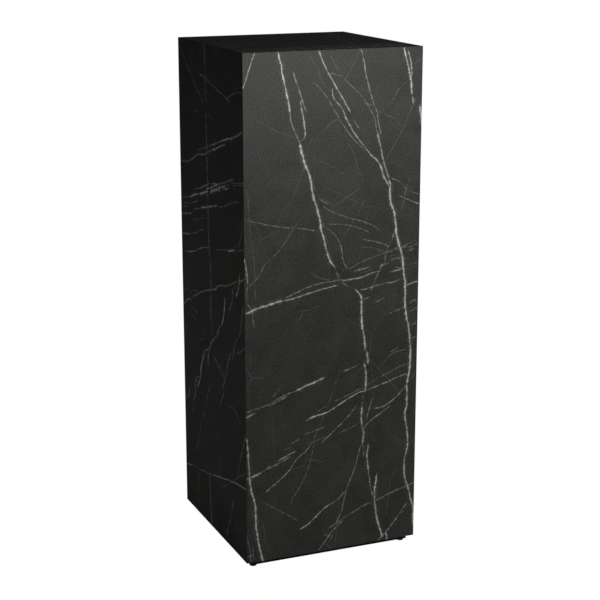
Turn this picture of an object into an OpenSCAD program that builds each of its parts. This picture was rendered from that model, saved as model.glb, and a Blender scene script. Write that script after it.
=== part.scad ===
// Display plinth: a square column of mitred boards faced with stone-pattern laminate,
// glued round a batten frame, with a recessed base board on four levelling feet.
// Millimetres, +Z up, front towards -Y, origin on the floor at the centre of the base.

/* [Shell] */
// Overall width of the laminated shell, along X
body_w = 400; // [300:5:520]
// Overall depth of the laminated shell, along Y
body_d = 400; // [300:5:520]
// Height of the laminated shell, from its lower edge to the display top
shell_h = 1089; // [600:1:1320]
// Thickness of the decorative laminate sheet
laminate_t = 0.8; // [0.6:0.1:1.5]
// Thickness of the board behind the laminate
board_t = 11.2; // [9:0.1:19]

/* [Base] */
// Thickness of the base board
base_t = 18; // [15:0.5:25]
// How far the base board stands out below the shell
base_drop = 11; // [6:0.5:14]
// Gap between the base board and the shell, on each side
base_gap = 0.25; // [0.1:0.05:0.6]

/* [Batten frame] */
// Width of each square corner post, which is also the thickness of the rails
post_w = 21; // [18:0.5:30]
// Height of the bottom and top rails
rail_h = 34; // [30:1:50]
// Thickness of the board under the display top
sub_top_t = 12; // [9:0.5:19]
// Thickness of the brace at mid height
brace_t = 12; // [9:0.5:19]
// Gap between glued timber parts and their seats
glue_gap = 0.1; // [0.05:0.05:0.3]

/* [Dowels and screws] */
// Diameter of the rail dowels
dowel_d = 6; // [5:0.5:7]
// Length of the rail dowels
dowel_l = 24; // [20:1:28]
// Shank diameter of the countersunk screws
screw_d = 3.5; // [3:0.1:4.5]
// Length of the base screws
base_screw_l = 30; // [26:1:40]
// Length of the screws under the board below the display top
top_screw_l = 40; // [38:1:44]
// Radial clearance of dowels, screws and inserts in their holes
hole_fit = 0.05; // [0.03:0.01:0.1]

/* [Levelling feet] */
// Diameter of the foot pad
pad_d = 16; // [14:0.5:20]
// Height of the foot pad
pad_h = 5; // [4.6:0.1:8]
// Rounding of the pad's lower edge
pad_round = 1.2; // [0.5:0.1:1.5]
// Thickness of the pad's sole
sole_t = 1.2; // [1:0.1:1.6]
// Thread diameter of the levelling stud
stud_d = 6; // [5:0.5:8]
// Length of the stud above its head
stud_l = 25; // [22:1:32]
// Diameter of the stud's head, which the pad snaps over
head_d = 11; // [9:0.5:12]
// Thickness of the stud's head
head_t = 2.2; // [1.6:0.1:2.4]
// Width across the flats of the key socket in the stud
key_af = 3; // [2.5:0.5:4]
// Outer diameter of the threaded insert
insert_d = 10; // [9:0.5:12]
// Length of the threaded insert
insert_l = 13; // [10:1:15]
// Radial clearance of the stud in the insert's thread
thread_fit = 0.05; // [0.03:0.01:0.08]
// Clearance round the stud's head inside the pad
swivel_fit = 0.1; // [0.05:0.05:0.2]

/* [Hidden] */
$fn = 64;
OVER = 1;              // how far a cut runs past the face it opens
CORNERS = [[-1, -1], [1, -1], [-1, 1], [1, 1]];
FRONT = 0;             // turns that carry a front piece to each side
RIGHT = 90;
BACK = 180;
LEFT = -90;

wall_t = laminate_t + board_t;
base_z = pad_h;                          // underside of the base board
shell_z = base_z + base_drop;            // lower edge of the shell
top_z = shell_z + shell_h;               // display top
frame_z = base_z + base_t;               // where the frame stands on the base board
ceiling_z = top_z - wall_t;              // underside of the top board
sub_top_z = ceiling_z - glue_gap - sub_top_t;
post_h = sub_top_z - frame_z;
brace_z = (frame_z + sub_top_z - brace_t) / 2;
top_rail_z = sub_top_z - rail_h;
inner_w = body_w - 2 * wall_t;           // clear width inside the boards
inner_d = body_d - 2 * wall_t;
foot_x = inner_w / 2 - glue_gap - post_w / 2;
foot_y = inner_d / 2 - glue_gap - post_w / 2;

low_dowel = rail_h * 0.5;                // heights of the dowels above a rail's lower face
high_dowel = rail_h * 0.8;
head_r = screw_d;                        // a countersunk head is twice as wide as its shank
head_h = head_r - screw_d / 2;
head_sink = 0.2;                         // how far a screw head lies below the surface
tip_l = 5;                               // length of a screw's point
cross_w = 0.9;                           // width of the cross recess
cross_depth = 1.5;
screw_share = 0.25;                      // place of a screw along a rail, from the middle

stud_r = stud_d / 2 - thread_fit;
head_z = sole_t + swivel_fit / 2;        // lower face of the stud's head
stud_end = 0.6;                          // chamfer at the stud's upper end
key_depth = 6;
key_gap = 0.5;                           // room round the key where it passes the sole
well_r = stud_d / 2 + 0.5;               // clear hole above the insert
well_depth = max(1, head_z + head_t + stud_l - frame_z) + 3;
slot_w = 1.6;                            // driver slot across the insert
slot_depth = 1.8;
pad_chamfer = 0.4;

// ---- shell -------------------------------------------------------------------------

// A front wall layer between two depths from the outer face, mitred at both sides and the top.
module mitred_wall(width, depth, outer, inner) {
    intersection() {
        translate([0, 0, shell_z])
            linear_extrude(shell_h)
                polygon([
                    [-width / 2 + outer, -depth / 2 + outer], [width / 2 - outer, -depth / 2 + outer],
                    [width / 2 - inner, -depth / 2 + inner], [-width / 2 + inner, -depth / 2 + inner]
                ]);
        rotate([90, 0, 90])
            linear_extrude(width, center = true)
                polygon([
                    [-depth / 2 + outer, shell_z], [-depth / 2 + inner, shell_z],
                    [-depth / 2 + inner, top_z - inner], [-depth / 2 + outer, top_z - outer]
                ]);
    }
}

// The wall layer on one side: turn is FRONT, RIGHT, BACK or LEFT.
module side_layer(turn, outer, inner) {
    across = abs(turn) == 90 ? body_d : body_w;
    away = abs(turn) == 90 ? body_w : body_d;
    rotate([0, 0, turn]) mitred_wall(across, away, outer, inner);
}

// The outline of a top layer along one direction, mitred at both ends.
module top_outline(length, outer, inner) {
    polygon([
        [-length / 2 + inner, top_z - inner], [length / 2 - inner, top_z - inner],
        [length / 2 - outer, top_z - outer], [-length / 2 + outer, top_z - outer]
    ]);
}

module top_layer(outer, inner) {
    intersection() {
        rotate([90, 0, 0]) linear_extrude(body_d, center = true) top_outline(body_w, outer, inner);
        rotate([90, 0, 90]) linear_extrude(body_w, center = true) top_outline(body_d, outer, inner);
    }
}

module laminate(turn) { color("#2c2c2c") side_layer(turn, 0, laminate_t); }
module board(turn) { color("tan") side_layer(turn, laminate_t, wall_t); }
module top_laminate() { color("#242424") top_layer(0, laminate_t); }
module top_board() { color("tan") top_layer(laminate_t, wall_t); }

// ---- holes and fasteners -----------------------------------------------------------

// A countersunk screw pointing up, with its head's face at z = 0; grow widens it into its hole.
module screw_body(length, grow = 0) {
    rotate_extrude()
        polygon([
            [0, 0], [head_r + grow, 0], [screw_d / 2 + grow, head_h],
            [screw_d / 2 + grow, length - tip_l + grow], [0, length + grow]
        ]);
}

module screw(length) {
    difference() {
        screw_body(length);
        for (a = [0, 90])
            rotate([0, 0, a])
                translate([-head_r * 0.55, -cross_w / 2, -OVER])
                    cube([head_r * 1.1, cross_w, cross_depth + OVER]);
    }
}

// The hole that a screw fills, opened by a straight mouth above the sunk head.
module screw_hole(length) {
    screw_body(length, hole_fit);
    translate([0, 0, -head_sink - OVER]) cylinder(r = head_r + hole_fit, h = head_sink + OVER);
}

// Carries children to the two screw places along each of the four rails.
module at_rail_screws() {
    for (s = [-1, 1], along = [-1, 1]) {
        translate([along * inner_w * screw_share, s * foot_y, 0]) children();
        translate([s * foot_x, along * inner_d * screw_share, 0]) children();
    }
}

module base_screws() {
    color("silver") at_rail_screws() translate([0, 0, base_z + head_sink]) screw(base_screw_l);
}

module top_screws() {
    color("silver") at_rail_screws() translate([0, 0, top_rail_z + head_sink]) screw(top_screw_l);
}

// A dowel along X, centred where a rail meets its post at the corner c; grow makes its hole.
module x_dowel(c, z, grow = 0) {
    translate([c[0] * (foot_x - post_w / 2), c[1] * foot_y, z])
        rotate([0, 90, 0])
            cylinder(d = dowel_d + 2 * grow, h = dowel_l + 2 * grow, center = true);
}

module y_dowel(c, z, grow = 0) {
    translate([c[0] * foot_x, c[1] * (foot_y - post_w / 2), z])
        rotate([90, 0, 0])
            cylinder(d = dowel_d + 2 * grow, h = dowel_l + 2 * grow, center = true);
}

// All dowels at one corner. The two directions lie at different heights so they miss each other.
module corner_dowels(c, grow = 0) {
    for (z = [frame_z, top_rail_z]) {
        x_dowel(c, z + low_dowel, grow);
        y_dowel(c, z + high_dowel, grow);
    }
}

module rail_dowels() {
    color("burlywood") for (c = CORNERS) corner_dowels(c);
}

// ---- frame -------------------------------------------------------------------------

module post(c) {
    color("wheat")
        difference() {
            translate([c[0] * foot_x - post_w / 2, c[1] * foot_y - post_w / 2, frame_z])
                cube([post_w, post_w, post_h]);
            corner_dowels(c, hole_fit);
            translate([c[0] * foot_x, c[1] * foot_y, frame_z - OVER])
                cylinder(r = well_r, h = well_depth + OVER);
        }
}

// A rail between two posts at height z, on the side that turn names.
module rail(turn, z) {
    sideways = abs(turn) == 90;
    clear = (sideways ? foot_y : foot_x) * 2 - post_w;
    off = sideways ? foot_x : foot_y;
    color("wheat")
        difference() {
            rotate([0, 0, turn])
                translate([-clear / 2 + glue_gap, -off - post_w / 2, z])
                    cube([clear - 2 * glue_gap, post_w, rail_h]);
            for (c = CORNERS) corner_dowels(c, hole_fit);
            at_rail_screws() translate([0, 0, base_z + head_sink]) screw_hole(base_screw_l);
            at_rail_screws() translate([0, 0, top_rail_z + head_sink]) screw_hole(top_screw_l);
        }
}

module mid_brace() {
    notch = post_w + 2 * glue_gap;
    color("burlywood")
        difference() {
            translate([-inner_w / 2 + glue_gap, -inner_d / 2 + glue_gap, brace_z])
                cube([inner_w - 2 * glue_gap, inner_d - 2 * glue_gap, brace_t]);
            for (c = CORNERS)
                translate([
                    c[0] * inner_w / 2 - (c[0] > 0 ? notch : 0),
                    c[1] * inner_d / 2 - (c[1] > 0 ? notch : 0),
                    brace_z - OVER
                ])
                    cube([notch, notch, brace_t + 2 * OVER]);
        }
}

module sub_top() {
    color("burlywood")
        difference() {
            translate([-inner_w / 2 + glue_gap, -inner_d / 2 + glue_gap, sub_top_z])
                cube([inner_w - 2 * glue_gap, inner_d - 2 * glue_gap, sub_top_t]);
            at_rail_screws() translate([0, 0, top_rail_z + head_sink]) screw_hole(top_screw_l);
        }
}

// ---- base and feet -----------------------------------------------------------------

module base_board() {
    color("#151515")
        difference() {
            translate([-inner_w / 2 + base_gap, -inner_d / 2 + base_gap, base_z])
                cube([inner_w - 2 * base_gap, inner_d - 2 * base_gap, base_t]);
            for (c = CORNERS)
                translate([c[0] * foot_x, c[1] * foot_y, base_z]) {
                    translate([0, 0, -OVER])
                        cylinder(r = insert_d / 2 + hole_fit, h = insert_l + OVER);
                    cylinder(r = well_r, h = base_t + OVER);
                }
            at_rail_screws() translate([0, 0, base_z + head_sink]) screw_hole(base_screw_l);
        }
}

module foot_inserts() {
    color("silver")
        for (c = CORNERS)
            translate([c[0] * foot_x, c[1] * foot_y, base_z])
                difference() {
                    cylinder(d = insert_d, h = insert_l);
                    translate([0, 0, -OVER]) cylinder(d = stud_d, h = insert_l + 2 * OVER);
                    translate([-insert_d / 2 - OVER, -slot_w / 2, -OVER])
                        cube([insert_d + 2 * OVER, slot_w, slot_depth + OVER]);
                }
}

// The pad: a round cup that snaps over the stud's head and lets it turn.
module foot_pad(c) {
    hollow_r = head_d / 2 + swivel_fit;
    hollow_top = head_z + head_t + swivel_fit;
    neck_r = stud_d / 2 + 4 * swivel_fit;
    key_r = key_af / sqrt(3) + key_gap;
    color("dimgray")
        translate([c[0] * foot_x, c[1] * foot_y, 0])
            rotate_extrude()
                difference() {
                    union() {
                        translate([0, pad_round]) square([pad_d / 2, pad_h - pad_round - pad_chamfer]);
                        square([pad_d / 2 - pad_round, pad_round]);
                        translate([pad_d / 2 - pad_round, pad_round])
                            intersection() {
                                circle(r = pad_round);
                                translate([0, -pad_round]) square(pad_round);
                            }
                        polygon([
                            [0, pad_h - pad_chamfer], [pad_d / 2, pad_h - pad_chamfer],
                            [pad_d / 2 - pad_chamfer, pad_h], [0, pad_h]
                        ]);
                    }
                    translate([-OVER, sole_t]) square([hollow_r + OVER, hollow_top - sole_t]);
                    translate([-OVER, sole_t]) square([neck_r + OVER, pad_h]);
                    translate([-OVER, -OVER]) square([key_r + OVER, sole_t + 2 * OVER]);
                }
}

// The stud: a flat head, a threaded shank drawn at its outer diameter, and a key socket.
module foot_stud(c) {
    shank_z = head_z + head_t;
    color("silver")
        translate([c[0] * foot_x, c[1] * foot_y, 0])
            difference() {
                union() {
                    translate([0, 0, head_z]) cylinder(d = head_d, h = head_t);
                    translate([0, 0, head_z]) cylinder(r = stud_r, h = head_t + stud_l - stud_end);
                    translate([0, 0, shank_z + stud_l - stud_end])
                        cylinder(r1 = stud_r, r2 = stud_r - stud_end, h = stud_end);
                }
                translate([0, 0, head_z - OVER])
                    cylinder(r = key_af / sqrt(3), h = key_depth + OVER, $fn = 6);
            }
}

// ---- nodes -------------------------------------------------------------------------

laminate(FRONT);  // front_laminate
laminate(BACK);  // back_laminate
laminate(LEFT);  // left_laminate
laminate(RIGHT);  // right_laminate
top_laminate();
board(FRONT);  // front_board
board(BACK);  // back_board
board(LEFT);  // left_board
board(RIGHT);  // right_board
top_board();
post(CORNERS[0]);  // post_front_left
post(CORNERS[1]);  // post_front_right
post(CORNERS[2]);  // post_back_left
post(CORNERS[3]);  // post_back_right
rail(FRONT, frame_z);  // bottom_rail_front
rail(BACK, frame_z);  // bottom_rail_back
rail(LEFT, frame_z);  // bottom_rail_left
rail(RIGHT, frame_z);  // bottom_rail_right
rail(FRONT, top_rail_z);  // top_rail_front
rail(BACK, top_rail_z);  // top_rail_back
rail(LEFT, top_rail_z);  // top_rail_left
rail(RIGHT, top_rail_z);  // top_rail_right
mid_brace();
sub_top();
base_board();
rail_dowels();
base_screws();
top_screws();
foot_inserts();
foot_pad(CORNERS[0]);  // foot_pad_front_left
foot_pad(CORNERS[1]);  // foot_pad_front_right
foot_pad(CORNERS[2]);  // foot_pad_back_left
foot_pad(CORNERS[3]);  // foot_pad_back_right
foot_stud(CORNERS[0]);  // foot_stud_front_left
foot_stud(CORNERS[1]);  // foot_stud_front_right
foot_stud(CORNERS[2]);  // foot_stud_back_left
foot_stud(CORNERS[3]);  // foot_stud_back_right
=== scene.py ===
"""Display plinth: stone-pattern laminate, recessed base board and levelling feet.

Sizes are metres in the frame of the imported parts: +Z up, the front towards -Y, the floor at
z = 0. The vein layouts are in millimetres on a face, seen from outside.
"""

from __future__ import annotations

import logging
import math
from dataclasses import dataclass, field
from enum import Enum
from typing import Any, Callable, Sequence

import bmesh
import bpy
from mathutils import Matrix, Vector

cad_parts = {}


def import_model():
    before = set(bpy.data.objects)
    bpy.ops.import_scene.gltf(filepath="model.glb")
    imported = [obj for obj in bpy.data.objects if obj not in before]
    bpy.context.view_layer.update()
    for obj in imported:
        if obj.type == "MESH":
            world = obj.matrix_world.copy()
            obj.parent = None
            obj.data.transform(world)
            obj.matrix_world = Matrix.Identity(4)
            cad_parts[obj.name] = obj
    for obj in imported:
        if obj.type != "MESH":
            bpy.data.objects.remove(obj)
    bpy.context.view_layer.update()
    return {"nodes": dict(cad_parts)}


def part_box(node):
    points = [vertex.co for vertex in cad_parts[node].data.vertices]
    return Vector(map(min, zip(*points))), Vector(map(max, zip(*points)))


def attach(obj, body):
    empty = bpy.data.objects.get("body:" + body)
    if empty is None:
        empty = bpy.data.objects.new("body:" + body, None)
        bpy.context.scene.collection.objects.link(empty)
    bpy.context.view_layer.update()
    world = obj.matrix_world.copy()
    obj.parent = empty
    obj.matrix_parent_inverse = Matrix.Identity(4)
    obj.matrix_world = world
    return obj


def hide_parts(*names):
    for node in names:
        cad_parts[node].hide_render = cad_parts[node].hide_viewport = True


LOG = logging.getLogger("display_plinth")
MM = 0.001
FACE_WIDTH = 400.0  # the width that the vein layouts are drawn for, mm
Point = tuple[float, float]
Colour = tuple[float, float, float]
Value = Any  # a node socket, a number or a tuple of numbers


# ---- node trees ---------------------------------------------------------------------------


class Tree:
    """A node tree that is filled by short calls, each of which returns an output socket."""

    def __init__(self, tree: bpy.types.NodeTree) -> None:
        """Takes the tree to fill.

        Args:
            tree: a material's, world's, light's or group's node tree.
        """
        self.tree = tree

    def node(self, kind: str, inputs: dict[Any, Value] | None = None, **settings: Any) -> bpy.types.Node:
        """Adds a node.

        Args:
            kind: the node's type name.
            inputs: socket name or index to a number, tuple or output socket.
            settings: attributes of the node.

        Returns:
            The new node.
        """
        made = self.tree.nodes.new(kind)
        for key, value in settings.items():
            setattr(made, key, value)
        for key, value in (inputs or {}).items():
            self.feed(made.inputs[key], value)
        return made

    def feed(self, socket: bpy.types.NodeSocket, value: Value) -> None:
        """Links an output socket to an input, or sets the input to a constant.

        Args:
            socket: the input.
            value: an output socket, a number or a tuple of numbers.
        """
        if isinstance(value, bpy.types.NodeSocket):
            self.tree.links.new(value, socket)
        elif socket.type == "RGBA" and len(value) == 3:
            socket.default_value = (*value, 1.0)
        else:
            socket.default_value = value

    def math(self, operation: str, *values: Value) -> bpy.types.NodeSocket:
        """Adds a Math node on up to three values and returns its result."""
        return self.node("ShaderNodeMath", dict(enumerate(values)), operation=operation).outputs[0]

    def vector(self, operation: str, *values: Value) -> bpy.types.NodeSocket:
        """Adds a Vector Math node on up to three vectors and returns its vector."""
        return self.node("ShaderNodeVectorMath", dict(enumerate(values)), operation=operation).outputs[0]

    def remap(self, value: Value, low: Value, high: Value, to: Point = (0.0, 1.0),
              smooth: bool = True) -> bpy.types.NodeSocket:
        """Maps a range of a value to another range, clamped.

        Args:
            value: the value to map.
            low: the value that maps to the first number of to.
            high: the value that maps to the second number of to.
            to: the two results.
            smooth: eases both ends.

        Returns:
            The mapped value.
        """
        kind = "SMOOTHSTEP" if smooth else "LINEAR"
        inputs = {"Value": value, "From Min": low, "From Max": high, "To Min": to[0], "To Max": to[1]}
        return self.node("ShaderNodeMapRange", inputs, interpolation_type=kind).outputs["Result"]

    def noise(self, place: Value, scale: float, detail: float = 2.0, rough: float = 0.5,
              warp: float = 0.0) -> bpy.types.NodeSocket:
        """Adds a Noise Texture.

        Args:
            place: where it is read.
            scale: its scale.
            detail: its detail.
            rough: its roughness.
            warp: its distortion.

        Returns:
            Its value, which lies mostly between 0.3 and 0.7.
        """
        inputs = {"Vector": place, "Scale": scale, "Detail": detail, "Roughness": rough, "Distortion": warp}
        return self.node("ShaderNodeTexNoise", inputs).outputs[0]

    def mix(self, factor: Value, first: Value, second: Value) -> bpy.types.NodeSocket:
        """Mixes two colours.

        Args:
            factor: the second colour's share.
            first: the first colour.
            second: the second colour.

        Returns:
            The mixed colour.
        """
        made = self.node("ShaderNodeMix", data_type="RGBA", clamp_factor=True)
        for socket, value in ((made.inputs[0], factor), (made.inputs[6], first), (made.inputs[7], second)):
            self.feed(socket, value)
        return made.outputs[2]

    def group(self, tree: bpy.types.NodeTree, **inputs: Value) -> bpy.types.Node:
        """Places a shader node group.

        Args:
            tree: the group.
            inputs: the value of each of its inputs, by name.

        Returns:
            The group's node.
        """
        return self.node("ShaderNodeGroup", inputs, node_tree=tree)

    def place(self) -> bpy.types.NodeSocket:
        """Returns the Object coordinates."""
        return self.node("ShaderNodeTexCoord").outputs["Object"]


class SharedGroups:
    """The effects that several finishes use, each built once as a shader node group."""

    _made: dict[str, bpy.types.NodeTree] = {}

    @classmethod
    def _start(cls, name: str, inputs: Sequence[tuple[str, str, Any]],
               outputs: Sequence[str]) -> tuple[Tree, bpy.types.Node, bpy.types.Node]:
        """Makes an empty group.

        Args:
            name: the group's name.
            inputs: name, socket kind (Float, Vector or Color) and default of each input.
            outputs: names of the outputs, all numbers.

        Returns:
            The group's tree, its input node and its output node.
        """
        tree = bpy.data.node_groups.new(name, "ShaderNodeTree")
        for label, kind, default in inputs:
            socket = tree.interface.new_socket(label, in_out="INPUT", socket_type=f"NodeSocket{kind}")
            if default is not None:
                socket.default_value = default
        for label in outputs:
            tree.interface.new_socket(label, in_out="OUTPUT", socket_type="NodeSocketFloat")
        cls._made[name] = tree
        canvas = Tree(tree)
        return canvas, canvas.node("NodeGroupInput"), canvas.node("NodeGroupOutput")

    @classmethod
    def vein(cls) -> bpy.types.NodeTree:
        """Builds the group that draws one vein over the mask made so far.

        Returns:
            The group.
        """
        if "vein" in cls._made:
            return cls._made["vein"]
        names = ("Under", "Across", "Along", "Centre", "Span", "Start", "End", "Width", "Strength",
                 "Swell", "Gaps", "Ragged")
        t, given, out = cls._start("vein", [(n, "Float", 0.0) for n in names], ["Mask"])
        g = given.outputs
        centre = t.math("MULTIPLY", g["Centre"], g["Span"])
        off = t.math("ABSOLUTE", t.math("SUBTRACT", g["Across"], centre))
        begun = t.math("SUBTRACT", g["Along"], g["Start"])
        ends = t.remap(t.math("MINIMUM", begun, t.math("SUBTRACT", g["End"], g["Along"])), -3.0, 7.0)
        tapered = t.math("MULTIPLY", t.math("MULTIPLY_ADD", ends, 0.6, 0.4), g["Width"])
        width = t.math("MULTIPLY", tapered, g["Swell"])
        line = t.remap(off, t.math("MULTIPLY", width, 0.75), t.math("MULTIPLY", width, 0.2))
        halo = t.remap(off, t.math("MULTIPLY", width, 2.4), 0.0, (0.0, 0.1))
        force = t.math("MULTIPLY", ends, g["Strength"])
        lost = t.math("MULTIPLY", t.math("MULTIPLY", force, g["Ragged"]), g["Gaps"])
        drawn = t.math("MULTIPLY", t.math("MAXIMUM", line, halo), t.math("SUBTRACT", force, lost))
        t.feed(out.inputs["Mask"], t.math("MAXIMUM", g["Under"], drawn))
        return t.tree

    @classmethod
    def arris(cls) -> bpy.types.NodeTree:
        """Builds the group that masks the edges of a box-shaped piece, for rubbed edges, paint loss and the
        laminate's painted edge highlight.

        Returns:
            The group.
        """
        if "arris" in cls._made:
            return cls._made["arris"]
        t, given, out = cls._start("arris", [
            ("Place", "Vector", None), ("Low", "Vector", None), ("High", "Vector", None),
            ("Reach", "Float", 0.001), ("Unevenness", "Float", 0.5),
        ], ["Mask"])
        g = given.outputs
        inner = t.vector("MINIMUM", t.vector("ABSOLUTE", t.vector("SUBTRACT", g["Place"], g["Low"])),
                         t.vector("ABSOLUTE", t.vector("SUBTRACT", g["High"], g["Place"])))
        part = t.node("ShaderNodeSeparateXYZ", {0: inner}).outputs
        low_pair = t.math("MINIMUM", part[0], part[1])
        high_pair = t.math("MAXIMUM", part[0], part[1])
        second = t.math("MINIMUM", high_pair, t.math("MAXIMUM", low_pair, part[2]))
        rub = t.remap(t.noise(g["Place"], 90.0, 3.0, 0.6), 0.35, 0.65)
        reach = t.math("MULTIPLY", g["Reach"],
                       t.math("SUBTRACT", 1.0, t.math("MULTIPLY", rub, g["Unevenness"])))
        t.feed(out.inputs["Mask"], t.remap(second, reach, 0.0))
        return t.tree

    @classmethod
    def speckle(cls) -> bpy.types.NodeTree:
        """Builds the group of fine grit over soft blotches, both about 0 on average.

        Returns:
            The group.
        """
        if "speckle" in cls._made:
            return cls._made["speckle"]
        t, given, out = cls._start("speckle", [
            ("Place", "Vector", None), ("Grit", "Float", 600.0), ("Blotch", "Float", 20.0),
        ], ["Grit", "Blotch"])
        g = given.outputs
        fine = t.node("ShaderNodeTexNoise", {"Vector": g["Place"], "Scale": g["Grit"], "Detail": 3.0,
                                             "Roughness": 0.7}).outputs[0]
        broad = t.node("ShaderNodeTexNoise", {"Vector": g["Place"], "Scale": g["Blotch"], "Detail": 4.0,
                                              "Roughness": 0.62, "Distortion": 0.6}).outputs[0]
        t.feed(out.inputs["Grit"], t.remap(fine, 0.25, 0.75, (-1.0, 1.0), smooth=False))
        t.feed(out.inputs["Blotch"], t.remap(broad, 0.25, 0.75, (-1.0, 1.0), smooth=False))
        return t.tree

    @classmethod
    def timber(cls) -> bpy.types.NodeTree:
        """Builds the group of growth rings and fibres that run along one axis.

        Returns:
            The group.
        """
        if "timber" in cls._made:
            return cls._made["timber"]
        t, given, out = cls._start("timber", [
            ("Place", "Vector", None), ("Stretch", "Vector", None), ("Rings", "Float", 90.0),
        ], ["Ring", "Fibre"])
        g = given.outputs
        long = t.vector("MULTIPLY", g["Place"], g["Stretch"])
        bend = t.noise(long, 9.0, 2.0, 0.5)
        bent = t.math("MULTIPLY", bend, 3.0)
        wave = t.math("MULTIPLY_ADD", t.noise(long, 3.0, 1.0, 0.4), g["Rings"], bent)
        ring = t.math("PINGPONG", wave, 1.0)
        fibre = t.noise(long, 420.0, 4.0, 0.7)
        t.feed(out.inputs["Ring"], t.math("POWER", ring, 2.2))
        t.feed(out.inputs["Fibre"], t.remap(fibre, 0.3, 0.7, smooth=False))
        return t.tree


# ---- finishes -----------------------------------------------------------------------------


class Grain(Enum):
    """Which way the fibres of a timber piece run, as the stretch of its pattern."""

    ALONG_X = (0.06, 1.0, 1.0)
    ALONG_Y = (1.0, 0.06, 1.0)
    ALONG_Z = (1.0, 1.0, 0.06)


@dataclass(frozen=True)
class Finish:
    """A finish with its base colour and gloss; each kind adds its own pattern.

    Args:
        name: the material's name.
        colour: the base colour, linear.
        roughness: the mean roughness.
    """

    name: str
    colour: Colour
    roughness: float

    def start(self) -> tuple[bpy.types.Material, Tree, bpy.types.Node]:
        """Makes a material with the base colour and roughness.

        Returns:
            The material, its tree and its Principled shader.
        """
        material = bpy.data.materials.new(self.name)
        material.use_nodes = True
        tree = Tree(material.node_tree)
        shader = material.node_tree.nodes["Principled BSDF"]
        shader.inputs["Base Color"].default_value = (*self.colour, 1.0)
        shader.inputs["Roughness"].default_value = self.roughness
        material.diffuse_color = (*self.colour, 1.0)
        return material, tree, shader

    def bump(self, tree: Tree, shader: bpy.types.Node, height: Value, depth: float) -> None:
        """Feeds a height to the shader's normal.

        Args:
            tree: the material's tree.
            shader: its Principled shader.
            height: the height, from 0 to 1.
            depth: what 1 stands for, metres.
        """
        made = tree.node("ShaderNodeBump", {"Height": height, "Strength": 0.6, "Distance": depth})
        tree.feed(shader.inputs["Normal"], made.outputs[0])


@dataclass(frozen=True)
class Timber(Finish):
    """Planed wood: growth rings and fibres.

    Args:
        dark: the colour of late wood, linear.
        rings: how close the rings are.
    """

    dark: Colour = (0.3, 0.17, 0.07)
    rings: float = 90.0

    def make(self, grain: Grain) -> bpy.types.Material:
        """Makes the material.

        Args:
            grain: the axis that the fibres run along.

        Returns:
            The material.
        """
        material, t, shader = self.start()
        place = t.place()
        wood = t.group(SharedGroups.timber(), Place=place, Stretch=grain.value, Rings=self.rings).outputs
        tint = t.mix(t.math("MULTIPLY", wood["Ring"], 0.55), self.colour, self.dark)
        tint = t.mix(t.math("MULTIPLY", wood["Fibre"], 0.22), tint, self.dark)
        t.feed(shader.inputs["Base Color"], tint)
        rough = t.math("MULTIPLY_ADD", wood["Fibre"], 0.16, self.roughness - 0.08)
        t.feed(shader.inputs["Roughness"], rough)
        self.bump(t, shader, wood["Fibre"], 0.0001)
        return material


@dataclass(frozen=True)
class Fibreboard(Finish):
    """Raw fibreboard: felted fibres and faint darker specks.

    Args:
        dark: the colour of the specks, linear.
    """

    dark: Colour = (0.22, 0.14, 0.08)

    def make(self) -> bpy.types.Material:
        """Makes the material.

        Returns:
            The material.
        """
        material, t, shader = self.start()
        spots = t.group(SharedGroups.speckle(), Place=t.place(), Grit=900.0, Blotch=60.0).outputs
        cloud = t.math("MULTIPLY_ADD", spots["Blotch"], 0.15, 0.3)
        shade = t.math("MULTIPLY_ADD", spots["Grit"], 0.22, cloud)
        t.feed(shader.inputs["Base Color"], t.mix(shade, self.colour, self.dark))
        t.feed(shader.inputs["Roughness"], t.math("MULTIPLY_ADD", spots["Grit"], 0.06, self.roughness))
        self.bump(t, shader, spots["Grit"], 0.00012)
        return material


@dataclass(frozen=True)
class Paint(Finish):
    """Matt paint on board: roller stipple, dust in the pores and rubbed arrises.

    Args:
        rubbed: the colour of a rubbed arris, linear.
    """

    rubbed: Colour = (0.035, 0.033, 0.03)

    def make(self, low: Vector, high: Vector) -> bpy.types.Material:
        """Makes the material for a box-shaped piece.

        Args:
            low: the piece's lowest corner.
            high: the piece's highest corner.

        Returns:
            The material.
        """
        material, t, shader = self.start()
        shader.inputs["Specular IOR Level"].default_value = 0.2
        place = t.place()
        spots = t.group(SharedGroups.speckle(), Place=place, Grit=700.0, Blotch=25.0).outputs
        worn = t.group(SharedGroups.arris(), Place=place, Low=tuple(low), High=tuple(high), Reach=0.0012,
                       Unevenness=0.9).outputs["Mask"]
        tint = t.mix(t.math("MULTIPLY_ADD", spots["Blotch"], 0.1, 0.12), self.colour, self.rubbed)
        t.feed(shader.inputs["Base Color"], t.mix(t.math("MULTIPLY", worn, 0.6), tint, self.rubbed))
        t.feed(shader.inputs["Roughness"], t.math("MULTIPLY_ADD", spots["Grit"], 0.08, self.roughness))
        self.bump(t, shader, spots["Grit"], 0.00008)
        return material


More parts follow.
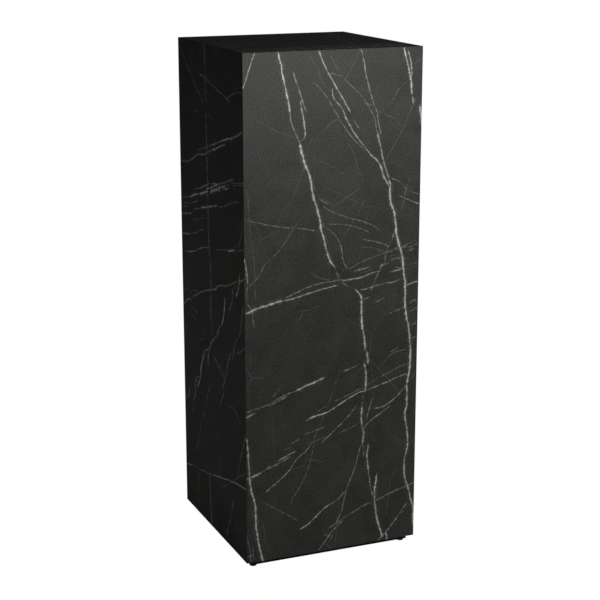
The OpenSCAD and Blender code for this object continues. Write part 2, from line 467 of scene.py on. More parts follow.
@dataclass(frozen=True)
class Moulded(Finish):
    """Moulded nylon: a fine texture from the mould and paler scuffs.

    Args:
        scuffed: the colour of the scuffs, linear.
    """

    scuffed: Colour = (0.3, 0.3, 0.29)

    def make(self) -> bpy.types.Material:
        """Makes the material.

        Returns:
            The material.
        """
        material, t, shader = self.start()
        place = t.place()
        spots = t.group(SharedGroups.speckle(), Place=place, Grit=2600.0, Blotch=240.0).outputs
        squashed = t.vector("MULTIPLY", place, (1.0, 1.0, 3.0))
        scuff = t.remap(t.noise(squashed, 500.0, 4.0, 0.7, 0.4), 0.56, 0.72)
        tint = t.mix(t.math("MULTIPLY", scuff, 0.5), self.colour, self.scuffed)
        t.feed(shader.inputs["Base Color"], tint)
        rough = t.math("MULTIPLY_ADD", spots["Blotch"], 0.1, self.roughness)
        t.feed(shader.inputs["Roughness"], t.math("MULTIPLY_ADD", scuff, 0.12, rough))
        self.bump(t, shader, spots["Grit"], 0.00004)
        return material


@dataclass(frozen=True)
class Plated(Finish):
    """Zinc-plated steel: drawn lines and a mottled yellow-grey bloom.

    Args:
        bloom: the colour of the bloom, linear.
    """

    bloom: Colour = (0.42, 0.41, 0.36)

    def make(self) -> bpy.types.Material:
        """Makes the material.

        Returns:
            The material.
        """
        material, t, shader = self.start()
        place = t.place()
        spots = t.group(SharedGroups.speckle(), Place=place, Grit=3000.0, Blotch=350.0).outputs
        lines = t.noise(t.vector("MULTIPLY", place, (1.0, 1.0, 0.08)), 2400.0, 2.0, 0.6)
        bloom = t.math("MULTIPLY_ADD", spots["Blotch"], 0.35, 0.4)
        t.feed(shader.inputs["Base Color"], t.mix(bloom, self.colour, self.bloom))
        shader.inputs["Metallic"].default_value = 1.0
        t.feed(shader.inputs["Roughness"], t.math("MULTIPLY_ADD", lines, 0.25, self.roughness - 0.12))
        self.bump(t, shader, lines, 0.00002)
        return material


# ---- stone pattern ------------------------------------------------------------------------


class Run(Enum):
    """Which way a vein mostly runs over its face."""

    STEEP = "steep"
    FLAT = "flat"


@dataclass(frozen=True)
class Vein:
    """One vein of the stone pattern.

    Args:
        run: its main direction.
        width: its mean width, mm.
        strength: how much it covers the ground, 0 to 1.
        path: points (height, across) on a steep vein and (across, height) on a flat one, mm.
    """

    run: Run
    width: float
    strength: float
    path: tuple[Point, ...]


def steep(width: float, strength: float, *path: Point) -> Vein:
    """Returns a steep vein through points (height, across)."""
    return Vein(Run.STEEP, width, strength, path)


def flat(width: float, strength: float, *path: Point) -> Vein:
    """Returns a flat vein through points (across, height)."""
    return Vein(Run.FLAT, width, strength, path)


TWIN_TRUNKS = (
    steep(4.4, 1.0, (1089, 77), (958, 102)),
    steep(2.6, 0.6, (962, 101), (930, 107), (890, 124)),
    steep(5.6, 1.0, (893, 124), (862, 130), (816, 146), (780, 152), (740, 164), (660, 182), (640, 188),
          (618, 203)),
    steep(3.0, 0.5, (622, 201), (590, 216), (566, 243)),
    steep(5.2, 1.0, (566, 251), (556, 259), (540, 265), (520, 265), (428, 276)),
    steep(5.0, 0.95, (427, 279), (397, 282)),
    steep(2.2, 0.6, (412, 270), (398, 273)),
    steep(5.4, 1.0, (402, 272), (380, 277), (337, 276)),
    steep(2.6, 0.35, (335, 272), (304, 269)),
    steep(5.0, 0.85, (306, 269), (275, 268), (240, 273), (220, 271)),
    steep(2.4, 0.6, (224, 270), (180, 256), (130, 236), (75, 220), (55, 209)),
    steep(2.2, 0.5, (224, 272), (205, 276), (192, 275)),
    steep(4.4, 0.85, (220, 285), (185, 283), (155, 287)),
    steep(2.8, 0.65, (160, 286), (120, 293), (100, 300)),
    steep(5.2, 0.95, (152, 306), (95, 302), (60, 307), (6, 323)),
    steep(4.2, 0.9, (20, 329), (-5, 334)),
    steep(5.4, 1.0, (800, 326), (785, 329), (760, 329), (730, 338), (680, 346), (620, 361), (500, 372),
          (455, 380), (385, 384), (340, 378)),
    steep(4.6, 0.9, (345, 378), (300, 378), (272, 373), (225, 381), (210, 381), (160, 374), (85, 392)),
    steep(5.6, 1.0, (92, 390), (60, 398), (20, 400)),
    steep(4.0, 0.85, (272, 2), (195, 8)),
    steep(5.2, 1.0, (200, 7), (170, 10), (130, 18), (60, 24), (-5, 37)),
)

TWIN_BRANCHES = (
    steep(3.3, 0.95, (1089, 164), (1060, 176), (998, 209)),
    steep(3.2, 0.85, (1000, 208), (950, 237)),
    steep(2.6, 0.7, (936, 243), (915, 256)),
    steep(2.8, 0.85, (1008, 199), (1000, 195), (960, 218), (940, 226), (900, 250), (850, 288)),
    steep(4.6, 1.0, (862, 279), (830, 307), (805, 315), (782, 328)),
    steep(2.0, 0.55, (1025, 122), (1020, 152), (1010, 165), (960, 200), (920, 224), (880, 256), (862, 276)),
    flat(2.0, 0.6, (190, 1040), (217, 1030)),
    steep(2.2, 0.6, (1030, 218), (940, 289), (900, 299)),
    steep(2.6, 0.65, (1089, 258), (1000, 279), (965, 290)),
    steep(2.4, 0.6, (968, 289), (950, 296), (900, 306)),
    steep(3.6, 0.8, (905, 299), (845, 312), (800, 327)),
    steep(4.2, 1.0, (1089, 356), (1030, 370), (984, 377)),
    steep(3.0, 0.8, (982, 378), (960, 380)),
    steep(3.0, 0.8, (1082, 366), (1035, 375), (1018, 373)),
    steep(5.0, 0.85, (962, 396), (915, 401)),
    steep(2.6, 0.8, (1089, 27), (1012, 0)),
    steep(2.6, 0.65, (1046, 108), (955, 139)),
    steep(3.2, 0.85, (985, 125), (910, 134), (896, 125)),
    flat(1.6, 0.25, (30, 947), (55, 930), (118, 901)),
    steep(1.6, 0.3, (1078, 145), (1045, 165), (1030, 169), (998, 192)),
    steep(1.7, 0.35, (1080, 188), (1042, 211)),
    flat(1.6, 0.35, (380, 1050), (400, 1067)),
    steep(1.8, 0.45, (1015, 366), (1000, 348), (972, 330)),
    flat(1.8, 0.5, (266, 971), (291, 965)),
    flat(1.5, 0.32, (298, 950), (320, 942), (340, 930), (358, 906)),
    flat(1.5, 0.3, (300, 948), (318, 962), (330, 976)),
    steep(1.8, 0.4, (975, 386), (915, 358), (842, 319)),
    flat(1.5, 0.3, (262, 905), (278, 925), (292, 938)),
    flat(1.5, 0.25, (150, 858), (180, 845), (230, 815)),
    steep(1.6, 0.25, (890, 228), (860, 245), (810, 259)),
    flat(2.4, 0.75, (328, 804), (352, 795)),
    flat(1.8, 0.5, (350, 796), (370, 776), (399, 761)),
    flat(2.2, 0.75, (346, 765), (400, 741)),
    steep(1.8, 0.5, (800, 378), (770, 365), (750, 362), (724, 353)),
    flat(2.2, 0.6, (152, 798), (163, 788)),
    flat(2.2, 0.65, (164, 771), (188, 756)),
    flat(1.6, 0.3, (178, 794), (262, 752), (290, 742)),
    flat(1.9, 0.5, (172, 756), (200, 737), (235, 722), (260, 716), (290, 702), (310, 686)),
    steep(2.2, 0.6, (716, 172), (685, 205), (672, 213), (660, 218), (640, 220), (612, 230)),
    flat(1.9, 0.5, (178, 716), (250, 702), (285, 687)),
    flat(1.9, 0.55, (0, 739), (30, 728), (160, 702)),
    steep(1.8, 0.5, (723, 118), (660, 73), (635, 42), (620, 35), (592, 8)),
    steep(3.4, 0.8, (658, 1), (598, 8)),
    steep(2.2, 0.5, (600, 8), (570, 5), (540, 17), (502, 22)),
    steep(2.2, 0.6, (683, 340), (670, 337), (640, 322), (620, 318), (605, 308), (555, 286)),
    steep(1.7, 0.35, (760, 272), (680, 222)),
    steep(1.6, 0.35, (540, 138), (500, 116)),
    steep(1.6, 0.2, (450, 12), (300, 7)),
    steep(1.7, 0.3, (800, 9), (735, 12), (640, 22), (560, 24)),
    steep(1.6, 0.26, (905, 150), (800, 118), (720, 70)),
    steep(1.7, 0.35, (395, 218), (300, 182), (272, 167)),
    steep(2.4, 0.6, (325, 297), (310, 290), (272, 281)),
    steep(1.8, 0.5, (262, 165), (252, 158), (222, 153), (190, 144), (145, 122), (125, 107), (112, 101)),
    steep(1.5, 0.3, (240, 335), (220, 352), (205, 358)),
    steep(1.5, 0.3, (156, 357), (140, 344), (45, 330)),
    steep(1.6, 0.35, (88, 37), (20, 50), (10, 56)),
    steep(2.0, 0.5, (60, 2), (0, 10)),
    steep(2.0, 0.5, (45, 12), (0, 17)),
)

TWIN_STREAKS = (
    flat(2.2, 0.5, (228, 612), (245, 615), (262, 623), (300, 634), (340, 643), (392, 662)),
    flat(2.8, 0.8, (247, 604), (285, 612)),
    flat(3.2, 0.9, (306, 611), (328, 616)),
    flat(1.7, 0.4, (258, 600), (280, 604), (292, 609)),
    flat(1.9, 0.45, (300, 646), (322, 641), (345, 648), (380, 648), (400, 656)),
    flat(2.6, 0.6, (328, 628), (336, 632), (344, 631)),
    flat(2.0, 0.55, (332, 621), (345, 624), (360, 623)),
    flat(2.2, 0.6, (370, 637), (390, 644)),
    flat(2.2, 0.6, (266, 672), (300, 665), (327, 654)),
    flat(1.7, 0.35, (262, 657), (300, 650), (322, 642)),
    flat(5.4, 1.0, (0, 538), (26, 546), (86, 557)),
    flat(2.6, 0.65, (86, 560), (112, 571), (155, 583), (218, 591)),
    flat(3.0, 0.85, (86, 556), (213, 580)),
    flat(3.0, 0.85, (216, 591), (226, 588), (245, 588), (295, 599), (310, 600)),
    flat(2.8, 0.9, (333, 596), (362, 601)),
    flat(2.4, 0.65, (256, 562), (320, 572), (340, 573), (360, 578)),
    flat(2.8, 0.85, (369, 561), (400, 569)),
    flat(2.0, 0.6, (344, 607), (362, 601)),
    flat(1.6, 0.4, (374, 607), (400, 611)),
    flat(3.0, 0.85, (270, 541), (284, 545)),
    flat(2.2, 0.65, (296, 531), (322, 541)),
    flat(2.8, 0.85, (379, 523), (389, 527), (398, 525)),
    flat(2.2, 0.75, (381, 503), (400, 510)),
    flat(2.0, 0.6, (384, 472), (400, 478)),
    flat(3.0, 0.85, (384, 441), (400, 448)),
    flat(2.0, 0.6, (326, 502), (373, 516)),
    flat(1.6, 0.3, (98, 525), (120, 530), (145, 532), (168, 538)),
    flat(2.4, 0.65, (0, 325), (35, 333), (100, 356), (116, 359)),
    flat(4.2, 0.95, (0, 314), (22, 321)),
    flat(2.6, 0.8, (50, 334), (95, 350)),
    flat(4.4, 1.0, (114, 360), (181, 380)),
    flat(3.2, 0.8, (222, 387), (258, 396)),
    flat(3.6, 0.95, (138, 291), (150, 296), (190, 304)),
    flat(3.0, 0.85, (188, 304), (265, 337), (281, 339)),
    flat(1.9, 0.55, (200, 325), (274, 346)),
    flat(1.7, 0.45, (162, 308), (186, 318)),
    flat(2.6, 0.8, (280, 340), (378, 366)),
    flat(1.9, 0.5, (278, 351), (360, 383), (382, 389)),
    flat(1.9, 0.55, (58, 349), (82, 372)),
    flat(1.6, 0.35, (26, 349), (43, 379)),
    flat(2.2, 0.6, (332, 416), (357, 426)),
    flat(1.9, 0.55, (310, 384), (335, 410), (372, 420)),
    flat(2.4, 0.75, (296, 297), (318, 299), (335, 306), (350, 316), (376, 340)),
    flat(2.4, 0.75, (272, 255), (285, 268), (337, 298)),
    flat(1.8, 0.5, (380, 347), (400, 367)),
    flat(2.4, 0.7, (172, 236), (250, 301), (258, 312)),
    flat(4.2, 0.95, (0, 183), (36, 193)),
    flat(2.6, 0.7, (34, 193), (102, 217)),
    flat(2.8, 0.75, (70, 211), (114, 228)),
    flat(2.2, 0.65, (44, 201), (58, 205)),
    flat(1.8, 0.5, (86, 233), (104, 238)),
    flat(2.2, 0.6, (102, 246), (124, 254)),
    flat(1.9, 0.55, (128, 259), (184, 273)),
    flat(1.8, 0.45, (142, 240), (185, 250)),
    flat(1.9, 0.5, (212, 251), (268, 270)),
    flat(2.8, 0.85, (43, 147), (95, 184), (116, 208), (142, 229), (152, 243)),
    flat(1.8, 0.45, (28, 133), (126, 71)),
    flat(3.4, 0.95, (123, 55), (140, 63), (182, 92), (196, 99)),
    flat(2.4, 0.7, (192, 98), (205, 103), (231, 124)),
    flat(2.2, 0.6, (190, 47), (268, 81), (298, 90)),
    flat(2.6, 0.8, (306, 92), (400, 119)),
    flat(2.8, 0.85, (166, 0), (212, 50), (226, 58)),
    flat(2.2, 0.65, (193, 18), (204, 35)),
    flat(1.9, 0.55, (178, 34), (190, 31)),
    flat(2.8, 0.85, (310, 0), (322, 9), (355, 42), (386, 80)),
    flat(1.8, 0.5, (352, 38), (380, 63)),
    flat(2.6, 0.75, (382, 66), (392, 72), (400, 90)),
    flat(2.2, 0.65, (0, 13), (18, 19)),
    flat(1.9, 0.5, (0, 131), (10, 137)),
)

LONE_TRUNKS = (
    steep(3.0, 0.7, (1089, 173), (1060, 176), (980, 177), (955, 180)),
    steep(3.0, 0.66, (940, 174), (920, 178), (860, 181), (650, 183), (630, 187), (530, 193), (480, 192),
          (428, 201)),
    flat(2.6, 0.5, (5, 1068), (25, 1058), (88, 1005), (165, 951)),
    flat(2.4, 0.6, (135, 1020), (332, 974)),
    flat(2.2, 0.55, (300, 979), (355, 997), (400, 1005)),
    flat(2.2, 0.5, (100, 923), (124, 932)),
    flat(2.2, 0.5, (186, 931), (200, 928), (215, 921)),
    flat(3.0, 0.8, (0, 793), (60, 804), (115, 826), (165, 836), (215, 853)),
    flat(4.4, 1.0, (212, 852), (298, 879)),
    flat(2.8, 0.65, (120, 836), (280, 884)),
    flat(4.8, 1.0, (276, 883), (370, 908), (400, 919)),
    flat(2.4, 0.6, (322, 889), (346, 899)),
    flat(6.0, 1.0, (66, 719), (85, 727), (122, 737)),
    flat(6.4, 1.0, (124, 737), (184, 755)),
    flat(3.0, 0.85, (98, 745), (140, 755), (196, 776)),
    flat(9.0, 1.0, (196, 755), (264, 777)),
    flat(4.4, 1.0, (206, 768), (248, 781)),
    flat(3.6, 0.95, (172, 758), (214, 769)),
    flat(5.6, 1.0, (248, 767), (262, 771)),
    flat(5.6, 1.0, (264, 779), (280, 781), (298, 787)),
    flat(3.6, 0.85, (278, 776), (318, 785)),
    flat(3.4, 0.85, (302, 790), (318, 791)),
    flat(3.0, 0.7, (204, 775), (260, 785), (348, 811)),
    flat(2.4, 0.55, (316, 799), (375, 806), (400, 812)),
    flat(2.2, 0.5, (330, 794), (400, 806)),
    flat(2.4, 0.5, (0, 708), (72, 722)),
    flat(3.2, 0.9, (80, 711), (118, 720)),
    flat(2.0, 0.4, (10, 699), (50, 704), (75, 710)),
    flat(2.6, 0.6, (88, 696), (138, 709)),
    flat(4.4, 0.95, (134, 709), (170, 715), (242, 733)),
    flat(2.4, 0.55, (248, 731), (275, 736), (335, 756), (375, 765)),
    flat(2.2, 0.5, (6, 686), (42, 697)),
    flat(3.2, 0.85, (6, 672), (55, 680), (70, 685)),
    flat(1.8, 0.3, (75, 669), (162, 690)),
    flat(3.0, 0.85, (2, 623), (60, 633)),
    flat(2.2, 0.5, (58, 633), (112, 647)),
    flat(2.0, 0.35, (110, 651), (158, 664)),
    flat(5.6, 1.0, (48, 588), (84, 599)),
    flat(2.6, 0.6, (15, 583), (88, 600), (120, 611), (198, 632)),
    flat(2.2, 0.5, (228, 632), (298, 646)),
    flat(5.6, 1.0, (300, 645), (346, 656)),
    flat(2.4, 0.55, (360, 656), (400, 669)),
    flat(2.8, 0.8, (68, 489), (125, 512), (235, 546)),
    flat(2.8, 0.85, (222, 543), (240, 552), (290, 565), (358, 590)),
    flat(3.0, 0.9, (368, 590), (400, 605)),
    flat(1.9, 0.4, (78, 505), (115, 513)),
    flat(2.0, 0.5, (50, 495), (74, 503)),
    flat(2.0, 0.45, (6, 488), (25, 497), (48, 504)),
    flat(3.2, 0.9, (2, 456), (36, 475), (48, 478), (58, 477)),
    flat(2.4, 0.55, (72, 464), (102, 458)),
    flat(2.0, 0.4, (62, 448), (92, 437)),
    flat(2.0, 0.4, (124, 435), (140, 429), (156, 418)),
    flat(2.2, 0.5, (116, 403), (134, 406)),
)

LONE_BRANCHES = (
    steep(6.0, 0.95, (615, 375), (575, 363), (552, 350)),
    steep(3.0, 0.6, (580, 344), (565, 342), (552, 350)),
    steep(2.8, 0.5, (738, 398), (700, 364)),
    steep(3.0, 0.5, (720, 392), (690, 382), (662, 366)),
    steep(2.6, 0.4, (672, 358), (640, 342)),
    steep(3.4, 0.75, (570, 328), (535, 325), (525, 318), (512, 300)),
    steep(3.0, 0.6, (514, 312), (505, 306), (499, 296)),
    steep(5.8, 1.0, (538, 283), (490, 271), (470, 258)),
    steep(4.0, 0.95, (474, 260), (458, 241), (442, 231), (428, 208)),
    steep(6.0, 1.0, (430, 212), (412, 190), (396, 178)),
    steep(4.4, 0.8, (398, 180), (390, 173), (356, 165)),
    flat(3.0, 0.75, (150, 386), (184, 402)),
    steep(5.6, 1.0, (385, 144), (370, 138), (340, 120), (315, 112), (286, 94)),
    steep(3.4, 0.75, (318, 110), (308, 92), (300, 83), (290, 77), (278, 78), (244, 58)),
    steep(3.0, 0.5, (238, 72), (228, 62), (213, 58)),
    flat(3.0, 0.75, (204, 389), (278, 356)),
    steep(3.4, 0.65, (428, 320), (415, 308), (345, 270), (331, 257)),
    steep(3.2, 0.55, (330, 274), (300, 249), (283, 238)),
    steep(3.4, 0.6, (548, 391), (475, 367), (455, 345), (412, 325)),
    flat(2.4, 0.6, (350, 431), (380, 445), (400, 458)),
    steep(2.8, 0.42, (328, 192), (290, 162), (250, 142), (210, 115), (160, 92), (132, 74)),
    flat(2.6, 0.55, (316, 313), (330, 308), (372, 285)),
    flat(2.2, 0.5, (302, 303), (314, 306)),
    steep(3.0, 0.45, (412, 215), (400, 212)),
    steep(4.6, 0.8, (270, 34), (255, 31), (240, 24)),
    steep(3.6, 0.6, (250, 12), (228, 2)),
    flat(2.8, 0.65, (0, 82), (50, 94)),
    flat(2.2, 0.42, (48, 93), (168, 113)),
    flat(3.0, 0.85, (166, 112), (275, 137), (325, 146)),
    flat(3.4, 1.0, (322, 146), (400, 158)),
    flat(2.0, 0.5, (243, 109), (270, 121), (345, 163), (400, 192)),
    steep(3.4, 0.7, (125, 166), (40, 171), (-5, 178)),
    steep(3.0, 0.6, (112, 326), (80, 307), (55, 298), (45, 290), (12, 275)),
    steep(2.8, 0.5, (275, 400), (235, 381), (210, 366), (165, 348)),
    steep(2.8, 0.5, (92, 86), (70, 86), (40, 82)),
    steep(1.8, 0.25, (242, 222), (200, 228), (145, 242), (105, 247)),
    steep(1.6, 0.2, (640, 60), (560, 52), (480, 40)),
    steep(1.6, 0.2, (900, 330), (760, 350)),
)

# veins of the top sheet; the first three, wide and close to the front edge, paint a pale sheen band along
# it
TOP_VEINS_AND_SHEEN_BAND = (
    flat(7.0, 0.85, (0, 14), (60, 18), (130, 16), (200, 24), (270, 27), (330, 33), (400, 35)),
    flat(4.5, 0.75, (90, 40), (150, 44), (210, 43), (290, 52), (400, 60)),
    flat(5.5, 0.7, (0, 48), (70, 60), (150, 66), (230, 80), (310, 84), (400, 92)),
    flat(2.0, 0.69, (0, 196), (60, 160), (180, 104), (240, 82), (300, 66)),
    flat(2.4, 0.47, (120, 112), (200, 120), (280, 134), (400, 140)),
    flat(2.8, 0.55, (0, 150), (90, 166), (180, 170), (270, 186), (400, 196)),
    flat(2.2, 0.47, (0, 236), (110, 240), (220, 256), (320, 262), (400, 274)),
    flat(2.6, 0.47, (60, 300), (160, 306), (260, 322), (400, 330)),
    flat(2.0, 0.4, (0, 352), (120, 362), (240, 366), (360, 380)),
    steep(1.8, 0.47, (0, 262), (60, 270), (120, 292), (200, 300), (280, 330), (400, 346)),
)


@dataclass(frozen=True)
class Layout:
    """A printed pattern as it falls on one sheet.

    Args:
        veins: the pattern's veins, seen the right way up.
        height: the sheet's height on the face, mm.
        turned: the sheet was cut with the pattern upside down.
        bow: how far the print rises at mid-height, mm.
        fade: the power of a vein's strength that it is printed with.
    """

    veins: tuple[Vein, ...]
    height: float
    turned: bool = False
    bow: float = 0.0
    fade: float = 1.4


TWIN_LAYOUT = TWIN_TRUNKS + TWIN_BRANCHES + TWIN_STREAKS
LONE_LAYOUT = LONE_TRUNKS + LONE_BRANCHES


class Face(Enum):
    """A face of the shell: the axis and sign that run across it, the axis that runs up it, and its turn."""

    FRONT = (0, 1.0, 2, 0.0)
    RIGHT = (1, 1.0, 2, 90.0)
    BACK = (0, -1.0, 2, 180.0)
    LEFT = (1, -1.0, 2, -90.0)
    TOP = (0, 1.0, 1, 0.0)


@dataclass(frozen=True)
class StoneLaminate(Finish):
    """Matt decorative laminate: a near-black mottled ground, warm white veins and hairlines.

    Args:
        vein: the veins' colour, linear.
        rim: the colour of a worn arris, pale enough that it also paints a highlight along every edge.
        grit: how far the fine grit lightens and darkens the ground.
        cloud: how far the soft blotches do.
        hairline: how strong the finest cracks are.
        edge_wear_and_highlight: how much of the arris colour shows, as rubbed wear and as a painted edge
            highlight.
    """

    vein: Colour = (0.53, 0.515, 0.485)
    # pale worn-arris colour: rubbed wear, and a painted highlight along every edge of the sheet
    rim: Colour = (0.09, 0.085, 0.08)
    grit: float = 0.88
    cloud: float = 0.27
    hairline: float = 0.11
    edge_wear_and_highlight: float = 0.55

    def make(self, face: Face, layout: Layout, low: Vector, high: Vector) -> bpy.types.Material:
        """Makes the material for one sheet.

        Args:
            face: the face that the sheet covers.
            layout: the pattern on it.
            low: the sheet's lowest corner.
            high: the sheet's highest corner.

        Returns:
            The material.
        """
        material, t, shader = self.start()
        material.name = f"{self.name}_{face.name.lower()}"
        place = t.place()
        across, height = self._on_face(t, place, face, layout, low, high)
        wander = t.math("MULTIPLY_ADD", t.noise(place, 24.0, 1.0), 6.0, -3.0)
        fray = t.math("MULTIPLY_ADD", t.noise(place, 190.0, 2.0, 0.6), 2.6, t.math("ADD", wander, -1.9))
        fray = t.math("MULTIPLY_ADD", t.noise(place, 620.0, 2.0, 0.6), 1.2, fray)
        breaks = t.remap(t.noise(place, 95.0, 4.0, 0.72), 0.4, 0.6)
        mask = self._veins(t, layout, across, height, fray, breaks)
        faint = t.math("MULTIPLY", self._hairlines(t, across, height), self.hairline)
        mask = t.math("MAXIMUM", mask, faint)
        spots = t.group(SharedGroups.speckle(), Place=place, Grit=330.0, Blotch=17.0).outputs
        cloud = t.math("MULTIPLY_ADD", spots["Blotch"], self.cloud, 1.0)
        shade = t.math("MULTIPLY_ADD", spots["Grit"], self.grit, cloud)
        ground = t.vector("SCALE", self.colour)
        t.feed(ground.node.inputs["Scale"], shade)
        tone = t.remap(t.noise(place, 12.0, 2.0), 0.35, 0.65)
        vein = t.mix(tone, tuple(0.78 * c for c in self.vein), self.vein)
        tint = t.mix(mask, ground, vein)
        # worn arris: rubbed edges, and with the pale rim colour a painted highlight along every edge of the
        # sheet
        worn = t.group(SharedGroups.arris(), Place=place, Low=tuple(low), High=tuple(high), Reach=0.0009,
                       Unevenness=0.7).outputs["Mask"]
        t.feed(shader.inputs["Base Color"], t.mix(t.math("MULTIPLY", worn, self.edge_wear_and_highlight), tint, self.rim))
        rough = t.math("MULTIPLY_ADD", mask, -0.08, self.roughness)
        t.feed(shader.inputs["Roughness"], t.math("MULTIPLY_ADD", spots["Blotch"], 0.05, rough))
        shader.inputs["Specular IOR Level"].default_value = 0.3
        self.bump(t, shader, t.noise(place, 1500.0, 3.0, 0.6), 0.00004)
        return material

    @staticmethod
    def _on_face(t: Tree, place: Value, face: Face, layout: Layout, low: Vector,
                 high: Vector) -> tuple[Value, Value]:
        """Measures places on the face.

        Args:
            t: the material's tree.
            place: the place in the frame.
            face: the face.
            layout: the pattern, for its height, turn and bow.
            low: the sheet's lowest corner.
            high: the sheet's highest corner.

        Returns:
            The distance across the face and the height on it, mm.
        """
        axis, sign, up, _ = face.value
        part = t.node("ShaderNodeSeparateXYZ", {0: place}).outputs
        edge = low[axis] if sign > 0 else high[axis]
        width = (high[axis] - low[axis]) / MM
        flip = -1.0 if layout.turned else 1.0
        scale = flip * sign / MM
        far, top = (width, layout.height) if layout.turned else (0.0, 0.0)
        across = t.math("MULTIPLY_ADD", part[axis], scale, -edge * scale + far)
        rise = flip / MM
        height = t.math("MULTIPLY_ADD", part[up], rise, -low[up] * rise + top)
        above = t.math("SUBTRACT", layout.height, height)
        bend = -4.0 * layout.bow / layout.height ** 2
        lift = t.math("MULTIPLY", t.math("MULTIPLY", height, above), bend)
        return across, t.math("ADD", height, lift)

    @staticmethod
    def _veins(t: Tree, layout: Layout, across: Value, height: Value, fray: Value, breaks: Value) -> Value:
        """Draws every vein of the layout.

        Args:
            t: the material's tree.
            layout: the pattern.
            across: the distance across the face, mm.
            height: the height on it, mm.
            fray: how far a vein's edge strays sideways, mm.
            breaks: 0 where a vein thins out, 1 where it is full.

        Returns:
            The mask of all the veins.
        """
        swell = t.math("MULTIPLY_ADD", breaks, 0.62, 0.32)
        gaps = t.math("SUBTRACT", 1.0, breaks)
        frayed = {Run.STEEP: t.math("ADD", across, fray), Run.FLAT: t.math("ADD", height, fray)}
        along = {Run.STEEP: height, Run.FLAT: across}
        span = {Run.STEEP: (layout.height, FACE_WIDTH), Run.FLAT: (FACE_WIDTH, layout.height)}
        mask: Value = 0.0
        for vein in layout.veins:
            length, reach = span[vein.run]
            path = sorted(vein.path)
            # each vein waits for the mask of the one before it, so that few values are held at once
            here = t.math("MULTIPLY_ADD", mask, 0.0, along[vein.run])
            curve = t.node("ShaderNodeFloatCurve", {"Value": t.math("DIVIDE", here, length)})
            Layouts.trace(curve, [(a / length, b / reach) for a, b in path])
            mask = t.group(SharedGroups.vein(), Under=mask, Across=frayed[vein.run], Along=here,
                           Centre=curve.outputs[0], Span=reach, Start=path[0][0], End=path[-1][0],
                           Width=vein.width, Strength=vein.strength ** layout.fade, Swell=swell, Gaps=gaps,
                           Ragged=0.82 - 0.5 * vein.strength).outputs["Mask"]
        return mask

    @staticmethod
    def _hairlines(t: Tree, across: Value, height: Value) -> Value:
        """Draws the finest cracks, which come and go over the face.

        Args:
            t: the material's tree.
            across: the distance across the face, mm.
            height: the height on it, mm.

        Returns:
            The mask of the cracks.
        """
        parts = {0: t.math("MULTIPLY", across, MM), 1: t.math("MULTIPLY", height, 0.55 * MM)}
        flat_place = t.node("ShaderNodeCombineXYZ", parts).outputs[0]
        bend = t.node("ShaderNodeTexNoise", {"Vector": flat_place, "Scale": 6.0, "Detail": 1.0},
                      noise_dimensions="2D").outputs["Color"]
        warped = t.vector("ADD", flat_place, t.vector("MULTIPLY", bend, (0.05, 0.05, 0.0)))
        cells = t.node("ShaderNodeTexVoronoi", {"Vector": warped, "Scale": 13.0},
                       feature="DISTANCE_TO_EDGE", voronoi_dimensions="2D")
        line = t.remap(cells.outputs["Distance"], 0.012, 0.002)
        return t.math("MULTIPLY", line, t.remap(t.noise(flat_place, 7.0, 2.0), 0.48, 0.64))


class Layouts:
    """Turns a vein's path into a curve node."""

    @staticmethod
    def trace(node: bpy.types.Node, path: Sequence[Point]) -> None:
        """Lays a Float Curve node's curve through points whose parts run from 0 to 1.

        Args:
            node: the Float Curve node.
            path: the points in rising order.
        """
        curve = node.mapping.curves[0]
        clipped = [(min(max(a, 0.0), 1.0), min(max(b, 0.0), 1.0)) for a, b in path]
        for place, stop in zip(curve.points, (clipped[0], clipped[-1])):
            place.location = stop
        for stop in clipped[1:-1]:
            curve.points.new(*stop)
        for place in curve.points:
            place.handle_type = "AUTO_CLAMPED"
        node.mapping.update()


# ---- modelling bench ----------------------------------------------------------------------


class Part(Enum):
    """What is picked in edit mode."""

    POINTS = "VERT"
    EDGES = "EDGE"
    FACES = "FACE"


